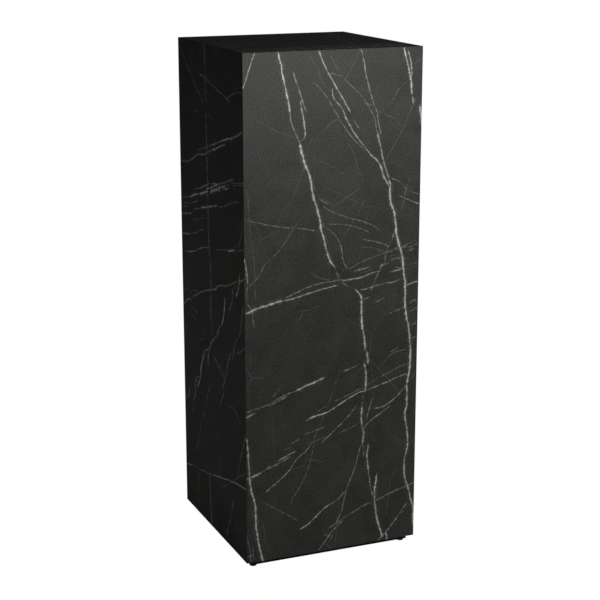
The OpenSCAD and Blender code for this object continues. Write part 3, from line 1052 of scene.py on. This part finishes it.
class Bench:
    """Modelling with Blender's own operators: start a piece, pick parts of it, shape them, settle it."""

    @staticmethod
    def only(*pieces: bpy.types.Object) -> None:
        """Goes to object mode with only these pieces selected.

        Args:
            pieces: what is selected; the first one is made active.
        """
        if bpy.context.mode != "OBJECT":
            bpy.ops.object.mode_set(mode="OBJECT")
        bpy.ops.object.select_all(action="DESELECT")
        for piece in pieces:
            piece.select_set(True)
        if pieces:
            bpy.context.view_layer.objects.active = pieces[0]

    @staticmethod
    def settle(name: str) -> bpy.types.Object:
        """Names the active piece and puts its place, turn and scale into its mesh.

        Args:
            name: the piece's name.

        Returns:
            The piece.
        """
        piece = bpy.context.object
        Bench.only(piece)
        bpy.ops.object.transform_apply(location=True, rotation=True, scale=True)
        piece.name = piece.data.name = name
        return piece

    @staticmethod
    def cube(name: str, low: Vector, high: Vector) -> bpy.types.Object:
        """Adds a box.

        Args:
            name: the piece's name.
            low: its lowest corner.
            high: its highest corner.

        Returns:
            The new piece.
        """
        Bench.only()
        bpy.ops.mesh.primitive_cube_add(size=1.0, location=(low + high) / 2)
        bpy.context.object.scale = high - low
        return Bench.settle(name)

    @staticmethod
    def six_sided_bar(name: str, flats: float, low: float, high: float) -> bpy.types.Object:
        """Adds an upright hexagonal bar on the Z axis.

        Args:
            name: the piece's name.
            flats: the distance across its flats.
            low: the height of the lower end.
            high: the height of the upper end.

        Returns:
            The new piece.
        """
        Bench.only()
        radius = flats / math.sqrt(3)
        bpy.ops.mesh.primitive_cone_add(vertices=6, radius1=radius, radius2=radius, depth=high - low,
                                        location=(0.0, 0.0, (low + high) / 2))
        return Bench.settle(name)

    @staticmethod
    def pick(piece: bpy.types.Object, part: Part, test: Callable[[Any], bool]) -> None:
        """Enters edit mode and selects exactly the points, edges or faces that pass a test.

        Args:
            piece: the piece.
            part: what is picked.
            test: says of each whether it is picked.
        """
        Bench.only(piece)
        bpy.ops.object.mode_set(mode="EDIT")
        bpy.ops.mesh.select_mode(type=part.value)
        bpy.ops.mesh.select_all(action="DESELECT")
        grid = bmesh.from_edit_mesh(piece.data)
        for each in {Part.POINTS: grid.verts, Part.EDGES: grid.edges, Part.FACES: grid.faces}[part]:
            if test(each):
                each.select_set(True)
        grid.select_flush_mode()
        bmesh.update_edit_mesh(piece.data)

    @staticmethod
    def trim(piece: bpy.types.Object, point: Vector, outward: Vector) -> None:
        """Cuts off all that lies beyond a plane and closes the cut.

        Args:
            piece: the piece.
            point: a point on the plane.
            outward: the plane's normal, on the side that is cut off.
        """
        Bench.pick(piece, Part.FACES, lambda face: True)
        bpy.ops.mesh.bisect(plane_co=point, plane_no=outward, use_fill=True, clear_outer=True)
        bpy.ops.object.mode_set(mode="OBJECT")

    @staticmethod
    def outline(profile: Sequence[Point], closed: bool) -> None:
        """Draws a profile as edges in the XZ plane and stays in edit mode with all of it selected.

        Args:
            profile: points (radius, height).
            closed: joins the last point to the first.
        """
        Bench.only()
        bpy.ops.mesh.primitive_plane_add(size=MM, location=(0.0, 0.0, 0.0))
        bpy.ops.object.mode_set(mode="EDIT")
        bpy.ops.mesh.select_mode(type=Part.POINTS.value)
        bpy.ops.mesh.select_all(action="SELECT")
        bpy.ops.mesh.merge(type="CENTER")
        here = Vector((profile[0][0], 0.0, profile[0][1]))
        bpy.ops.transform.translate(value=here)
        for radius, height in (*profile[1:], *(profile[:1] if closed else ())):
            there = Vector((radius, 0.0, height))
            bpy.ops.mesh.extrude_region_move(TRANSFORM_OT_translate={"value": there - here})
            here = there
        bpy.ops.mesh.select_all(action="SELECT")
        bpy.ops.mesh.remove_doubles(threshold=0.001 * MM)

    @staticmethod
    def lathe(name: str, profile: Sequence[Point], closed: bool = True,
              steps: int = 64) -> bpy.types.Object:
        """Turns a profile round the Z axis.

        Args:
            name: the piece's name.
            profile: points (radius, height).
            closed: joins the last point to the first.
            steps: the number of sides.

        Returns:
            The turned piece.
        """
        Bench.outline(profile, closed)
        bpy.ops.mesh.spin(steps=steps, angle=2 * math.pi, center=(0.0, 0.0, 0.0), axis=(0.0, 0.0, 1.0))
        bpy.ops.mesh.select_all(action="SELECT")
        bpy.ops.mesh.remove_doubles(threshold=0.001 * MM)
        bpy.ops.mesh.normals_make_consistent(inside=False)
        bpy.ops.object.mode_set(mode="OBJECT")
        return Bench.settle(name)

    @staticmethod
    def thread(piece: bpy.types.Object, root: float, crest: float, low: float, high: float,
               pitch: float) -> None:
        """Winds a V-shaped thread on a round piece by an applied Screw modifier, and unites the two.

        Args:
            piece: the piece, of radius root where the thread is.
            root: the radius at the thread's foot.
            crest: the radius at its crest.
            low: where the thread starts.
            high: the height that it stays below.
            pitch: the rise in one turn.
        """
        sunk, flat = root - 0.12 * MM, 0.08 * pitch
        Bench.outline([(sunk, low - 0.44 * pitch), (crest, low - flat), (crest, low + flat),
                       (sunk, low + 0.44 * pitch)], closed=True)
        bpy.ops.object.mode_set(mode="OBJECT")
        ridge = Bench.settle("thread")
        modifier = ridge.modifiers.new("wind", "SCREW")
        modifier.screw_offset, modifier.iterations = pitch, int((high - low) / pitch)
        modifier.steps = modifier.render_steps = 24
        modifier.use_merge_vertices = False
        bpy.ops.object.modifier_apply(modifier=modifier.name)
        Bench.pick(ridge, Part.EDGES, lambda edge: edge.is_boundary)
        bpy.ops.mesh.fill_holes(sides=0)
        bpy.ops.mesh.select_all(action="SELECT")
        bpy.ops.mesh.normals_make_consistent(inside=False)
        bpy.ops.object.mode_set(mode="OBJECT")
        Bench.cut(piece, ridge, keep="UNION")

    @staticmethod
    def cut(piece: bpy.types.Object, *cutters: bpy.types.Object, keep: str = "DIFFERENCE") -> None:
        """Cuts a piece with others by applied Boolean modifiers, and removes them.

        Args:
            piece: the piece.
            cutters: what it is cut with.
            keep: the Boolean operation.
        """
        for cutter in cutters:
            Bench.only(piece)
            modifier = piece.modifiers.new("cut", "BOOLEAN")
            modifier.operation, modifier.solver, modifier.object = keep, "EXACT", cutter
            bpy.ops.object.modifier_apply(modifier=modifier.name)
            bpy.data.objects.remove(cutter)

    @staticmethod
    def bevel(piece: bpy.types.Object, width: float, segments: int, angle: float = 40.0) -> None:
        """Rounds a piece's sharp edges by an applied Bevel modifier.

        Args:
            piece: the piece.
            width: how far the rounding reaches.
            segments: the number of its facets.
            angle: the least angle of an edge that is rounded, degrees.
        """
        Bench.only(piece)
        modifier = piece.modifiers.new("bevel", "BEVEL")
        modifier.width, modifier.segments = width, segments
        modifier.limit_method, modifier.angle_limit = "ANGLE", math.radians(angle)
        modifier.harden_normals = False
        bpy.ops.object.modifier_apply(modifier=modifier.name)

    @staticmethod
    def smooth(piece: bpy.types.Object, angle: float = 35.0) -> None:
        """Shades a piece smooth up to an angle."""
        Bench.only(piece)
        bpy.ops.object.shade_smooth_by_angle(angle=math.radians(angle))

    @staticmethod
    def copy(piece: bpy.types.Object, name: str, turn: float = 0.0,
             shift: Vector = Vector((0.0, 0.0, 0.0))) -> bpy.types.Object:
        """Copies a piece with its own mesh, turned about the Z axis and then moved.

        Args:
            piece: what is copied.
            name: the copy's name.
            turn: the turn, in degrees.
            shift: the move after it.

        Returns:
            The copy.
        """
        Bench.only(piece)
        bpy.ops.object.duplicate(linked=False)
        made = bpy.context.object
        made.rotation_euler, made.location = (0.0, 0.0, math.radians(turn)), shift
        return Bench.settle(name)

    @staticmethod
    def join(name: str, pieces: Sequence[bpy.types.Object]) -> bpy.types.Object:
        """Joins pieces into one.

        Args:
            name: the joined piece's name.
            pieces: what is joined.

        Returns:
            The joined piece.
        """
        Bench.only(*pieces)
        bpy.ops.object.join()
        return Bench.settle(name)


def dress(piece: bpy.types.Object, material: bpy.types.Material) -> None:
    """Gives a piece one material all over.

    Args:
        piece: the piece.
        material: the material.
    """
    slots = piece.data.materials
    if not slots:
        slots.append(material)
    for number in range(len(slots)):
        slots[number] = material


def hand_over(piece: bpy.types.Object, body: str, slot: str, *nodes: str) -> None:
    """Makes a finished piece ride on its body in place of the nodes that it stands for.

    Args:
        piece: the finished piece.
        body: the body that it moves with.
        slot: a material slot's name; not used.
        nodes: the frame's nodes that it replaces.
    """
    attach(piece, body)
    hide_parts(*nodes)
    LOG.info("%s rides on %s, %d faces", piece.name, body, len(piece.data.polygons))


# ---- sub-assemblies -----------------------------------------------------------------------


@dataclass
class Shell:
    """The stone-pattern skin: four tall sheets and a top, mitred and filed at every corner.

    Args:
        finish: the laminate.
        layouts: the pattern on each face.
        corner: the radius that the corners are filed to.
        facets: the number of file strokes on a sheet's half of a corner.
        body: the body that the sheets ride on.
    """

    finish: StoneLaminate
    layouts: dict[Face, Layout]
    corner: float = 0.5 * MM
    facets: int = 3
    body: str = "column"

    def build(self) -> None:
        """Models the front and top sheets, copies the front one round, and dresses them all."""
        low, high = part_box("front_laminate")
        front = self._side(low, high)
        for face in (Face.RIGHT, Face.BACK, Face.LEFT):
            self._finish(Bench.copy(front, f"{face.name.lower()}_sheet", turn=face.value[3]), face)
        self._finish(front, Face.FRONT)
        self._finish(self._top(*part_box("top_laminate")), Face.TOP)

    def _side(self, low: Vector, high: Vector) -> bpy.types.Object:
        """Models the front sheet, with its back face drawn in to the mitres and its arrises filed round.

        Args:
            low: its lowest corner.
            high: its highest corner.

        Returns:
            The sheet.
        """
        sheet = Bench.cube("front_sheet", low, high)
        thick, width = high.y - low.y, high.x - low.x
        Bench.pick(sheet, Part.FACES, lambda face: face.normal.y > 0.9)
        bpy.ops.transform.resize(value=(1 - 2 * thick / width, 1.0, 1 - thick / (high.z - low.z)),
                                 center_override=((low.x + high.x) / 2, high.y, low.z))
        bpy.ops.object.mode_set(mode="OBJECT")
        outward = Vector((0.0, -1.0, 0.0))
        for side, edge in ((-1, low.x), (1, high.x)):
            self._file(sheet, Vector((edge, low.y, high.z)), Vector((side, 0.0, 0.0)), outward)
        self._file(sheet, Vector((low.x, low.y, high.z)), Vector((0.0, 0.0, 1.0)), outward)
        return sheet

    def _top(self, low: Vector, high: Vector) -> bpy.types.Object:
        """Models the top sheet, mitred and filed along its four edges.

        Args:
            low: its lowest corner.
            high: its highest corner.

        Returns:
            The sheet.
        """
        sheet = Bench.cube("top_sheet", low, high)
        draw = 1 - 2 * (high.z - low.z) / (high.x - low.x)
        Bench.pick(sheet, Part.FACES, lambda face: face.normal.z < -0.9)
        middle = ((low.x + high.x) / 2, (low.y + high.y) / 2, low.z)
        bpy.ops.transform.resize(value=(draw, draw, 1.0), center_override=middle)
        bpy.ops.object.mode_set(mode="OBJECT")
        for x, y in ((-1, 0), (1, 0), (0, -1), (0, 1)):
            corner = Vector((high.x if x > 0 else low.x, high.y if y > 0 else low.y, high.z))
            self._file(sheet, corner, Vector((x, y, 0.0)), Vector((0.0, 0.0, 1.0)))
        return sheet

    def _file(self, sheet: bpy.types.Object, corner: Vector, beyond: Vector, face: Vector) -> None:
        """Files this sheet's half of a right-angled corner round.

        Args:
            sheet: the sheet.
            corner: a point on the sharp corner's line.
            beyond: the outward normal of the neighbouring sheet.
            face: the outward normal of this sheet.
        """
        centre = corner - self.corner * (beyond + face)
        for number in range(self.facets):
            angle = math.radians(45.0) * (number + 0.5) / self.facets
            outward = math.cos(angle) * face + math.sin(angle) * beyond
            Bench.trim(sheet, centre + self.corner * outward, outward)

    def _finish(self, sheet: bpy.types.Object, face: Face) -> None:
        """Dresses a sheet and hands it over.

        Args:
            sheet: the sheet.
            face: the face that it covers.
        """
        node = f"{face.name.lower()}_laminate"
        dress(sheet, self.finish.make(face, self.layouts[face], *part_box(node)))
        hand_over(sheet, self.body, "stone_laminate", node)


@dataclass
class Carcass:
    """The boards behind the skin and the batten frame that they are glued to.

    Args:
        nodes: the frame's own objects, by name.
        board: the panels' finish.
        pine: the posts' and rails' finish.
        beech: the dowels' finish.
        birch: the brace's and sub-top's finish.
    """

    nodes: dict[str, bpy.types.Object]
    board: Fibreboard = Fibreboard("raw_fibreboard", (0.36, 0.25, 0.15), 0.9)
    pine: Timber = Timber("planed_pine", (0.62, 0.43, 0.22), 0.6, (0.42, 0.22, 0.08), 120.0)
    beech: Timber = Timber("beech_dowel", (0.58, 0.38, 0.2), 0.55, (0.4, 0.22, 0.1), 200.0)
    birch: Timber = Timber("birch_plywood", (0.64, 0.48, 0.29), 0.6, (0.5, 0.32, 0.16), 60.0)

    def build(self) -> None:
        """Dresses every board, post, rail, dowel and brace."""
        boards = self.board.make()
        grains = {grain: self.pine.make(grain) for grain in Grain}
        for name, node in self.nodes.items():
            if name.endswith("_board") and name != "base_board":
                dress(node, boards)
            elif name.startswith("post_"):
                dress(node, grains[Grain.ALONG_Z])
            elif "_rail_" in name:
                dress(node, grains[Grain.ALONG_X if name.endswith(("front", "back")) else Grain.ALONG_Y])
        dress(self.nodes["rail_dowels"], self.beech.make(Grain.ALONG_Z))
        sheet = self.birch.make(Grain.ALONG_X)
        for name in ("sub_top", "mid_brace"):
            dress(self.nodes[name], sheet)
        LOG.info("carcass dressed: boards, posts, rails, dowels, brace and sub-top")


def rail_places(along: float, across: float) -> list[Point]:
    """Returns the eight places (x, y) of a group of screws, two to a rail."""
    return [place for a in (-along, along) for b in (-across, across) for place in ((a, b), (b, a))]


@dataclass
class Screws:
    """The countersunk screws: one is modelled, and each group is made of its copies.

    Args:
        head: the head's radius.
        shank: the plain shank's radius, and the thread's at its crest.
        core: the thread's radius at its foot.
        tip: the length of the end without a thread.
        pitch: the thread's rise in one turn.
        cross: the width and depth of the cross recess.
    """

    head: float = 3.5 * MM
    shank: float = 1.75 * MM
    core: float = 1.2 * MM
    tip: float = 5.0 * MM
    pitch: float = 1.8 * MM
    cross: Point = (0.9 * MM, 1.5 * MM)

    def build(self, name: str, node: str, along: float, across: float, steel: bpy.types.Material) -> None:
        """Models one screw at the origin, copies it to the eight places of a group and joins them.

        Args:
            name: the finished piece's name.
            node: the frame's node with the group of screws.
            along: how far a screw stands from the middle of its rail.
            across: how far the rail stands from the middle of the plinth.
            steel: the material of every screw.
        """
        low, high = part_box(node)
        screw = self._screw(high.z - low.z)
        copies = [Bench.copy(screw, "screw", turn=31.0 * number, shift=Vector((*place, low.z)))
                  for number, place in enumerate(rail_places(along, across))]
        group = Bench.join(name, copies)
        bpy.data.objects.remove(screw)
        Bench.smooth(group, 35.0)
        dress(group, steel)
        hand_over(group, "column", "zinc_steel", node)

    def _screw(self, length: float) -> bpy.types.Object:
        """Models a screw that points up, with its head's face at z = 0.

        Args:
            length: its whole length.

        Returns:
            The screw.
        """
        sink, lip = self.head - self.shank, 0.2 * MM
        plain, start = sink + 3.0 * MM, sink + 4.2 * MM
        screw = Bench.lathe("screw", [
            (0.0, 0.0), (self.head - lip / 2, 0.0), (self.head, lip / 2), (self.head - lip / 2, lip),
            (self.shank, sink), (self.shank, plain), (self.core, plain + 2 * lip),
            (self.core, length - self.tip), (0.0, length),
        ], closed=False, steps=28)
        Bench.thread(screw, self.core, self.shank, start, length - self.tip, self.pitch)
        width, depth = self.cross
        for turn in (0.0, 90.0):
            arm = Bench.cube("arm", Vector((-0.55 * self.head, -width / 2, -MM)),
                             Vector((0.55 * self.head, width / 2, depth)))
            Bench.cut(screw, Bench.copy(arm, "slot", turn=turn))
            bpy.data.objects.remove(arm)
        return screw


@dataclass
class Base:
    """The recessed black board, its screws and the steel inserts that take the feet.

    Args:
        foot: how far a foot stands from the middle, along X and Y.
        rail_share: how far a screw stands from the middle, as a share of the shell's inner width.
        shell_gap: the gap between the board and the shell.
        fit: the gap round a screw or an insert in its hole.
        arris: the rounding of the board's edges.
        mouth: the chamfer at the mouth of a hole.
        passage: the radius of the hole above an insert.
        paint: the board's finish.
        plated: the screws' and inserts' finish.
        screws: both groups of screws.
        insert_bore: the radius inside an insert.
        insert_wall: how deep an insert's outer thread is.
        insert_pitch: that thread's rise in one turn.
        slot: the width and depth of an insert's slot.
    """

    foot: Point
    rail_share: float = 0.25
    shell_gap: float = 0.25 * MM
    fit: float = 0.05 * MM
    arris: float = 0.5 * MM
    mouth: float = 0.35 * MM
    passage: float = 3.5 * MM
    paint: Paint = Paint("black_board_paint", (0.008, 0.008, 0.0083), 0.7)
    plated: Plated = Plated("zinc_plated_steel", (0.62, 0.62, 0.6), 0.38)
    screws: Screws = field(default_factory=Screws)
    insert_bore: float = 3.0 * MM
    insert_wall: float = 0.7 * MM
    insert_pitch: float = 2.5 * MM
    slot: Point = (1.6 * MM, 1.8 * MM)

    def build(self) -> None:
        """Models the board, the inserts and both groups of screws."""
        low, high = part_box("base_board")
        along = ((high.x - low.x) / 2 + self.shell_gap) * 2 * self.rail_share
        board = self._board(low, high, along)
        dress(board, self.paint.make(low, high))
        hand_over(board, "column", "black_board", "base_board")
        steel = self.plated.make()
        self._inserts(steel)
        self.screws.build("base_screw_set", "base_screws", along, self.foot[0], steel)
        self.screws.build("top_screw_set", "top_screws", along, self.foot[0], steel)

    def _corners(self) -> list[Vector]:
        """Returns the four places of the feet."""
        x, y = self.foot
        return [Vector((a, b, 0.0)) for a in (-x, x) for b in (-y, y)]

    def _board(self, low: Vector, high: Vector, along: float) -> bpy.types.Object:
        """Models the board with its insert holes, countersinks and eased arrises.

        Args:
            low: its lowest corner.
            high: its highest corner.
            along: how far a screw stands from the middle of its rail.

        Returns:
            The board.
        """
        board = Bench.cube("black_base_board", low, high)
        Bench.bevel(board, self.arris, 3)
        insert_low, insert_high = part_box("foot_inserts")
        insert = (insert_high.x - insert_low.x) / 2 - self.foot[0] + self.fit
        below, above = low.z - MM, high.z + MM
        drill = Bench.lathe("drill", [
            (0.0, below), (insert + self.mouth, below), (insert + self.mouth, low.z),
            (insert, low.z + self.mouth), (insert, insert_high.z), (self.passage, insert_high.z),
            (self.passage, above), (0.0, above),
        ], closed=False, steps=48)
        head, shank = self.screws.head + self.fit, self.screws.shank + self.fit
        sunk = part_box("base_screws")[0].z
        sink = Bench.lathe("sink", [
            (0.0, below), (head + 0.3 * MM, below), (head, low.z + 0.1 * MM), (head, sunk),
            (shank, sunk + head - shank), (shank, above), (0.0, above),
        ], closed=False, steps=32)
        for place in self._corners():
            Bench.cut(board, Bench.copy(drill, "hole", shift=place))
        for x, y in rail_places(along, self.foot[0]):
            Bench.cut(board, Bench.copy(sink, "hole", shift=Vector((x, y, 0.0))))
        for tool in (drill, sink):
            bpy.data.objects.remove(tool)
        Bench.smooth(board, 30.0)
        return board

    def _inserts(self, steel: bpy.types.Material) -> None:
        """Models one slotted insert with knife threads outside, and copies it to the four corners.

        Args:
            steel: its material.
        """
        low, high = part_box("foot_inserts")
        outer, ease, rim, flange = (high.x - low.x) / 2 - self.foot[0], 0.4 * MM, 0.2 * MM, low.z + 1.2 * MM
        core, bore = outer - self.insert_wall, self.insert_bore
        insert = Bench.lathe("insert", [
            (bore, low.z + ease), (bore + ease, low.z), (outer - rim, low.z), (outer, low.z + rim),
            (outer, flange), (core, flange + 0.3 * MM), (core, high.z - ease), (core - ease, high.z),
            (bore + ease, high.z), (bore, high.z - ease),
        ], steps=48)
        Bench.thread(insert, core, outer, flange + 2.0 * MM, high.z - 1.2 * MM, self.insert_pitch)
        width, depth = self.slot
        Bench.cut(insert, Bench.cube("slot", Vector((-2 * outer, -width / 2, low.z - MM)),
                                     Vector((2 * outer, width / 2, low.z + depth))))
        group = Bench.join("foot_insert_set", [Bench.copy(insert, "insert", shift=place)
                                               for place in self._corners()])
        bpy.data.objects.remove(insert)
        Bench.smooth(group, 35.0)
        dress(group, steel)
        hand_over(group, "column", "zinc_steel", "foot_inserts")


@dataclass
class LevellingFeet:
    """Four screw feet: a moulded pad that snaps over the head of a threaded stud.

    Args:
        moulded: the pads' finish.
        steel: the studs' finish.
        sole: the thickness of a pad's sole.
        hollow: the radius and top of the hollow that holds the stud's head.
        neck: the radius of the pad's opening over the head.
        key_hole: the radius of the hole for the key in the sole.
        edge: the rounding of the pad's lower edge.
        groove: the lower and upper edge of the groove round the pad.
        groove_depth: how deep it is.
        head: the thickness of the stud's head.
        crest: the thread's radius at its crest.
        depth: how deep the thread is.
        pitch: the thread's rise in one turn.
        key: the key socket's width across flats, and its depth.
    """

    moulded: Moulded = Moulded("grey_nylon_pad", (0.035, 0.035, 0.036), 0.5)
    steel: Plated = Plated("stud_steel", (0.5, 0.5, 0.48), 0.34)
    sole: float = 1.2 * MM
    hollow: Point = (5.6 * MM, 3.55 * MM)
    neck: float = 3.4 * MM
    key_hole: float = 2.23 * MM
    edge: float = 1.8 * MM
    groove: Point = (3.5 * MM, 4.2 * MM)
    groove_depth: float = 0.35 * MM
    head: float = 2.2 * MM
    crest: float = 2.95 * MM
    depth: float = 0.55 * MM
    pitch: float = 1.0 * MM
    key: Point = (3.0 * MM, 6.0 * MM)

    @staticmethod
    def place() -> Point:
        """Returns how far a foot stands from the middle of the plinth, along X and Y."""
        low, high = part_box("foot_pad_back_right")
        return (low.x + high.x) / 2, (low.y + high.y) / 2

    def build(self) -> None:
        """Models one pad and one stud at the origin and copies them to the four corners."""
        pad, stud = self._pad(), self._stud()
        moulded, steel = self.moulded.make(), self.steel.make()
        for corner in ("front_left", "front_right", "back_left", "back_right"):
            low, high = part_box(f"foot_pad_{corner}")
            place = Vector(((low.x + high.x) / 2, (low.y + high.y) / 2, 0.0))
            made = Bench.copy(pad, f"pad_{corner}", shift=place)
            dress(made, moulded)
            hand_over(made, f"foot_{corner}_pad", "grey_nylon", f"foot_pad_{corner}")
            made = Bench.copy(stud, f"stud_{corner}", shift=place)
            dress(made, steel)
            hand_over(made, f"foot_{corner}_stud", "stud_steel", f"foot_stud_{corner}")
        bpy.data.objects.remove(pad)
        bpy.data.objects.remove(stud)

    def _pad(self) -> bpy.types.Object:
        """Models the pad: a rounded sole, a waist groove, a snap rim and the hollow for the head.

        Returns:
            The pad, round the Z axis.
        """
        foot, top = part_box("foot_pad_front_left")
        outer, high, ease = (top.x - foot.x) / 2, top.z, 0.25 * MM
        arc = [(outer - self.edge * (1 - math.sin(a)), self.edge * (1 - math.cos(a)))
               for a in (math.radians(90.0) * n / 6 for n in range(7))]
        (lower, upper), waist = self.groove, outer - self.groove_depth
        rim = [(outer, lower), (waist, lower + ease), (waist, upper - ease), (outer, upper),
               (outer - 0.15 * MM, high - 0.3 * MM), (outer - 0.6 * MM, high)]
        (room, ceiling), chamfer = self.hollow, 0.3 * MM
        inside = [(self.neck + chamfer, high), (self.neck, high - chamfer), (self.neck, ceiling),
                  (room, ceiling), (room, self.sole), (self.key_hole, self.sole), (self.key_hole, ease),
                  (self.key_hole + ease, 0.0)]
        pad = Bench.lathe("pad", arc + rim + inside)
        Bench.smooth(pad, 32.0)
        return pad

    def _stud(self) -> bpy.types.Object:
        """Models the stud: a round head with a key socket, and a shank with a wound thread.

        Returns:
            The stud, round the Z axis.
        """
        foot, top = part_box("foot_stud_front_left")
        low, high, head = foot.z, top.z, (top.x - foot.x) / 2
        shoulder, crest, soft, tip = low + self.head, self.crest, 0.25 * MM, 0.6 * MM
        root = crest - self.depth
        stud = Bench.lathe("stud", [
            (0.0, low), (head - soft, low), (head, low + soft), (head, shoulder - soft),
            (head - soft, shoulder), (crest, shoulder), (crest, shoulder + tip), (root, shoulder + MM),
            (root, high - tip), (root - tip, high), (0.0, high),
        ], closed=False, steps=40)
        Bench.thread(stud, root, crest, shoulder + 1.4 * MM, high - MM, self.pitch)
        flats, deep = self.key
        Bench.cut(stud, Bench.six_sided_bar("socket", flats, low - MM, low + deep))
        Bench.smooth(stud, 35.0)
        return stud


# ---- studio -------------------------------------------------------------------------------


class Reach(Enum):
    """What a lamp adds to: (matt light, gloss)."""

    ALL = (True, True)
    MATT = (True, False)
    GLOSS = (False, True)


@dataclass(frozen=True)
class Lamp:
    """A rectangular area light.

    Args:
        name: its name.
        place: where it hangs.
        aim: the point that it faces.
        size: its width and height, metres.
        power: its power, watts.
        reach: what it adds to.
        spread: the angle that its grid lets out, degrees.
    """

    name: str
    place: tuple[float, float, float]
    aim: tuple[float, float, float]
    size: Point
    power: float
    reach: Reach = Reach.ALL
    spread: float = 180.0

    def hang(self) -> None:
        """Adds the light to the scene."""
        Bench.only()
        bpy.ops.object.light_add(type="AREA", location=self.place)
        lamp = bpy.context.object
        lamp.name = lamp.data.name = self.name
        lamp.data.shape, lamp.data.size, lamp.data.size_y = "RECTANGLE", self.size[0], self.size[1]
        lamp.data.energy, lamp.data.spread = self.power, math.radians(self.spread)
        lamp.visible_camera = False
        lamp.visible_diffuse, lamp.visible_glossy = self.reach.value
        lamp.rotation_euler = (Vector(self.aim) - Vector(self.place)).to_track_quat("-Z", "Y").to_euler()


LAMPS = (
    Lamp("front_key", (0.1, -1.2, 1.1), (-0.05, -0.2, 1.6), (0.55, 0.25), 2.7, spread=120.0),
    Lamp("front_sheen", (0.1, -1.2, 1.1), (-0.05, -0.2, 1.6), (0.55, 0.25), 2.3, Reach.GLOSS, 120.0),
    Lamp("front_fill", (1.1, -2.4, 1.7), (0.0, -0.2, 0.8), (1.2, 0.8), 51.5, Reach.MATT),
    Lamp("left_fill", (-1.9, 0.2, 0.3), (-0.2, 0.0, 0.3), (0.6, 0.5), 4.0, Reach.MATT),
    Lamp("right_fill", (3.2, 0.3, 0.75), (0.0, 0.1, 0.55), (1.4, 0.5), 26.0),
    Lamp("back_fill", (0.5, 3.2, 0.75), (0.0, 0.0, 0.55), (1.4, 0.5), 26.0),
)


@dataclass
class Studio:
    """A pale seamless floor, soft light from the front and above, and the camera.

    Args:
        eye: where the camera stands.
        aim: the point that it looks at.
        lens: its focal length, mm.
        floor_half: half the floor's width, metres.
        floor_drop: how far the floor lies below the feet, so that they don't share its surface.
        surround: how bright the world is to all but the camera.
    """

    eye: Vector = field(default_factory=lambda: Vector((-1.265, -3.020, 1.391)))
    aim: Vector = field(default_factory=lambda: Vector((0.0042, -0.0087, 0.5356)))
    lens: float = 91.0
    floor_half: float = 40.0
    floor_drop: float = 0.3 * MM
    surround: float = 0.036

    def build(self) -> None:
        """Makes the floor, the world, the lights and the camera."""
        self._floor()
        self._world()
        for lamp in LAMPS:
            lamp.hang()
        self._camera()

    def _floor(self) -> None:
        """Lays the floor, which looks white to the camera and stays dim in reflections."""
        Bench.only()
        bpy.ops.mesh.primitive_grid_add(x_subdivisions=2, y_subdivisions=2, size=2 * self.floor_half,
                                        location=(0.0, 0.0, -self.floor_drop))
        floor = Bench.settle("studio_floor")
        material = bpy.data.materials.new("studio_floor")
        material.use_nodes = True
        t = Tree(material.node_tree)
        material.node_tree.nodes.remove(material.node_tree.nodes["Principled BSDF"])
        out = material.node_tree.nodes["Material Output"]
        ray = t.node("ShaderNodeLightPath").outputs["Is Camera Ray"]
        white = t.node("ShaderNodeEmission", {"Color": (1.0, 1.0, 1.0), "Strength": 1.0}).outputs[0]
        dim = t.node("ShaderNodeBsdfDiffuse", {"Color": (0.3, 0.3, 0.3)}).outputs[0]
        seen = t.node("ShaderNodeMixShader", {0: ray, 1: dim, 2: white}).outputs[0]
        under = t.node("ShaderNodeNewGeometry").outputs["Backfacing"]
        clear = t.node("ShaderNodeBsdfTransparent").outputs[0]
        shown = t.node("ShaderNodeMixShader", {0: under, 1: seen, 2: clear}).outputs[0]
        t.feed(out.inputs["Surface"], shown)
        dress(floor, material)

    def _world(self) -> None:
        """Sets a world that is white to the camera and dim to everything else."""
        world = bpy.data.worlds.new("studio")
        world.use_nodes = True
        bpy.context.scene.world = world
        t = Tree(world.node_tree)
        base = world.node_tree.nodes["Background"]
        ray = t.node("ShaderNodeLightPath").outputs["Is Camera Ray"]
        base.inputs["Color"].default_value = (1.0, 1.0, 1.0, 1.0)
        t.feed(base.inputs["Strength"], t.math("MULTIPLY_ADD", ray, 1.0 - self.surround, self.surround))

    def _camera(self) -> None:
        """Places the camera at standing height, in front and to the left."""
        Bench.only()
        bpy.ops.object.camera_add(location=self.eye)
        camera = bpy.context.object
        camera.name = camera.data.name = "camera"
        camera.rotation_euler = (self.aim - self.eye).to_track_quat("-Z", "Y").to_euler()
        camera.data.lens, camera.data.sensor_width = self.lens, 36.0
        camera.data.clip_start, camera.data.clip_end = 0.05, 200.0
        bpy.context.scene.camera = camera


# ---- the plinth ---------------------------------------------------------------------------


def main() -> None:
    """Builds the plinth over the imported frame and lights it."""
    logging.basicConfig(level=logging.INFO, format="%(name)s: %(message)s")
    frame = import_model()
    view = bpy.context.scene.view_settings
    view.view_transform, view.look, view.exposure, view.gamma = "Standard", "None", 0.0, 1.0
    front_low, front_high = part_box("front_laminate")
    height = (front_high.z - front_low.z) / MM
    layouts = {
        Face.FRONT: Layout(TWIN_LAYOUT, height, bow=19.0, fade=1.5),
        Face.LEFT: Layout(LONE_LAYOUT, height, bow=26.0, fade=0.8),
        Face.BACK: Layout(TWIN_LAYOUT, height, turned=True),
        Face.RIGHT: Layout(LONE_LAYOUT, height, turned=True),
        Face.TOP: Layout(TOP_VEINS_AND_SHEEN_BAND, FACE_WIDTH),
    }
    Shell(StoneLaminate("stone_laminate", (0.0365, 0.036, 0.0335), 0.58), layouts).build()
    Carcass(frame["nodes"]).build()
    Base(LevellingFeet.place()).build()
    LevellingFeet().build()
    Studio().build()


if __name__ == "__main__":
    main()
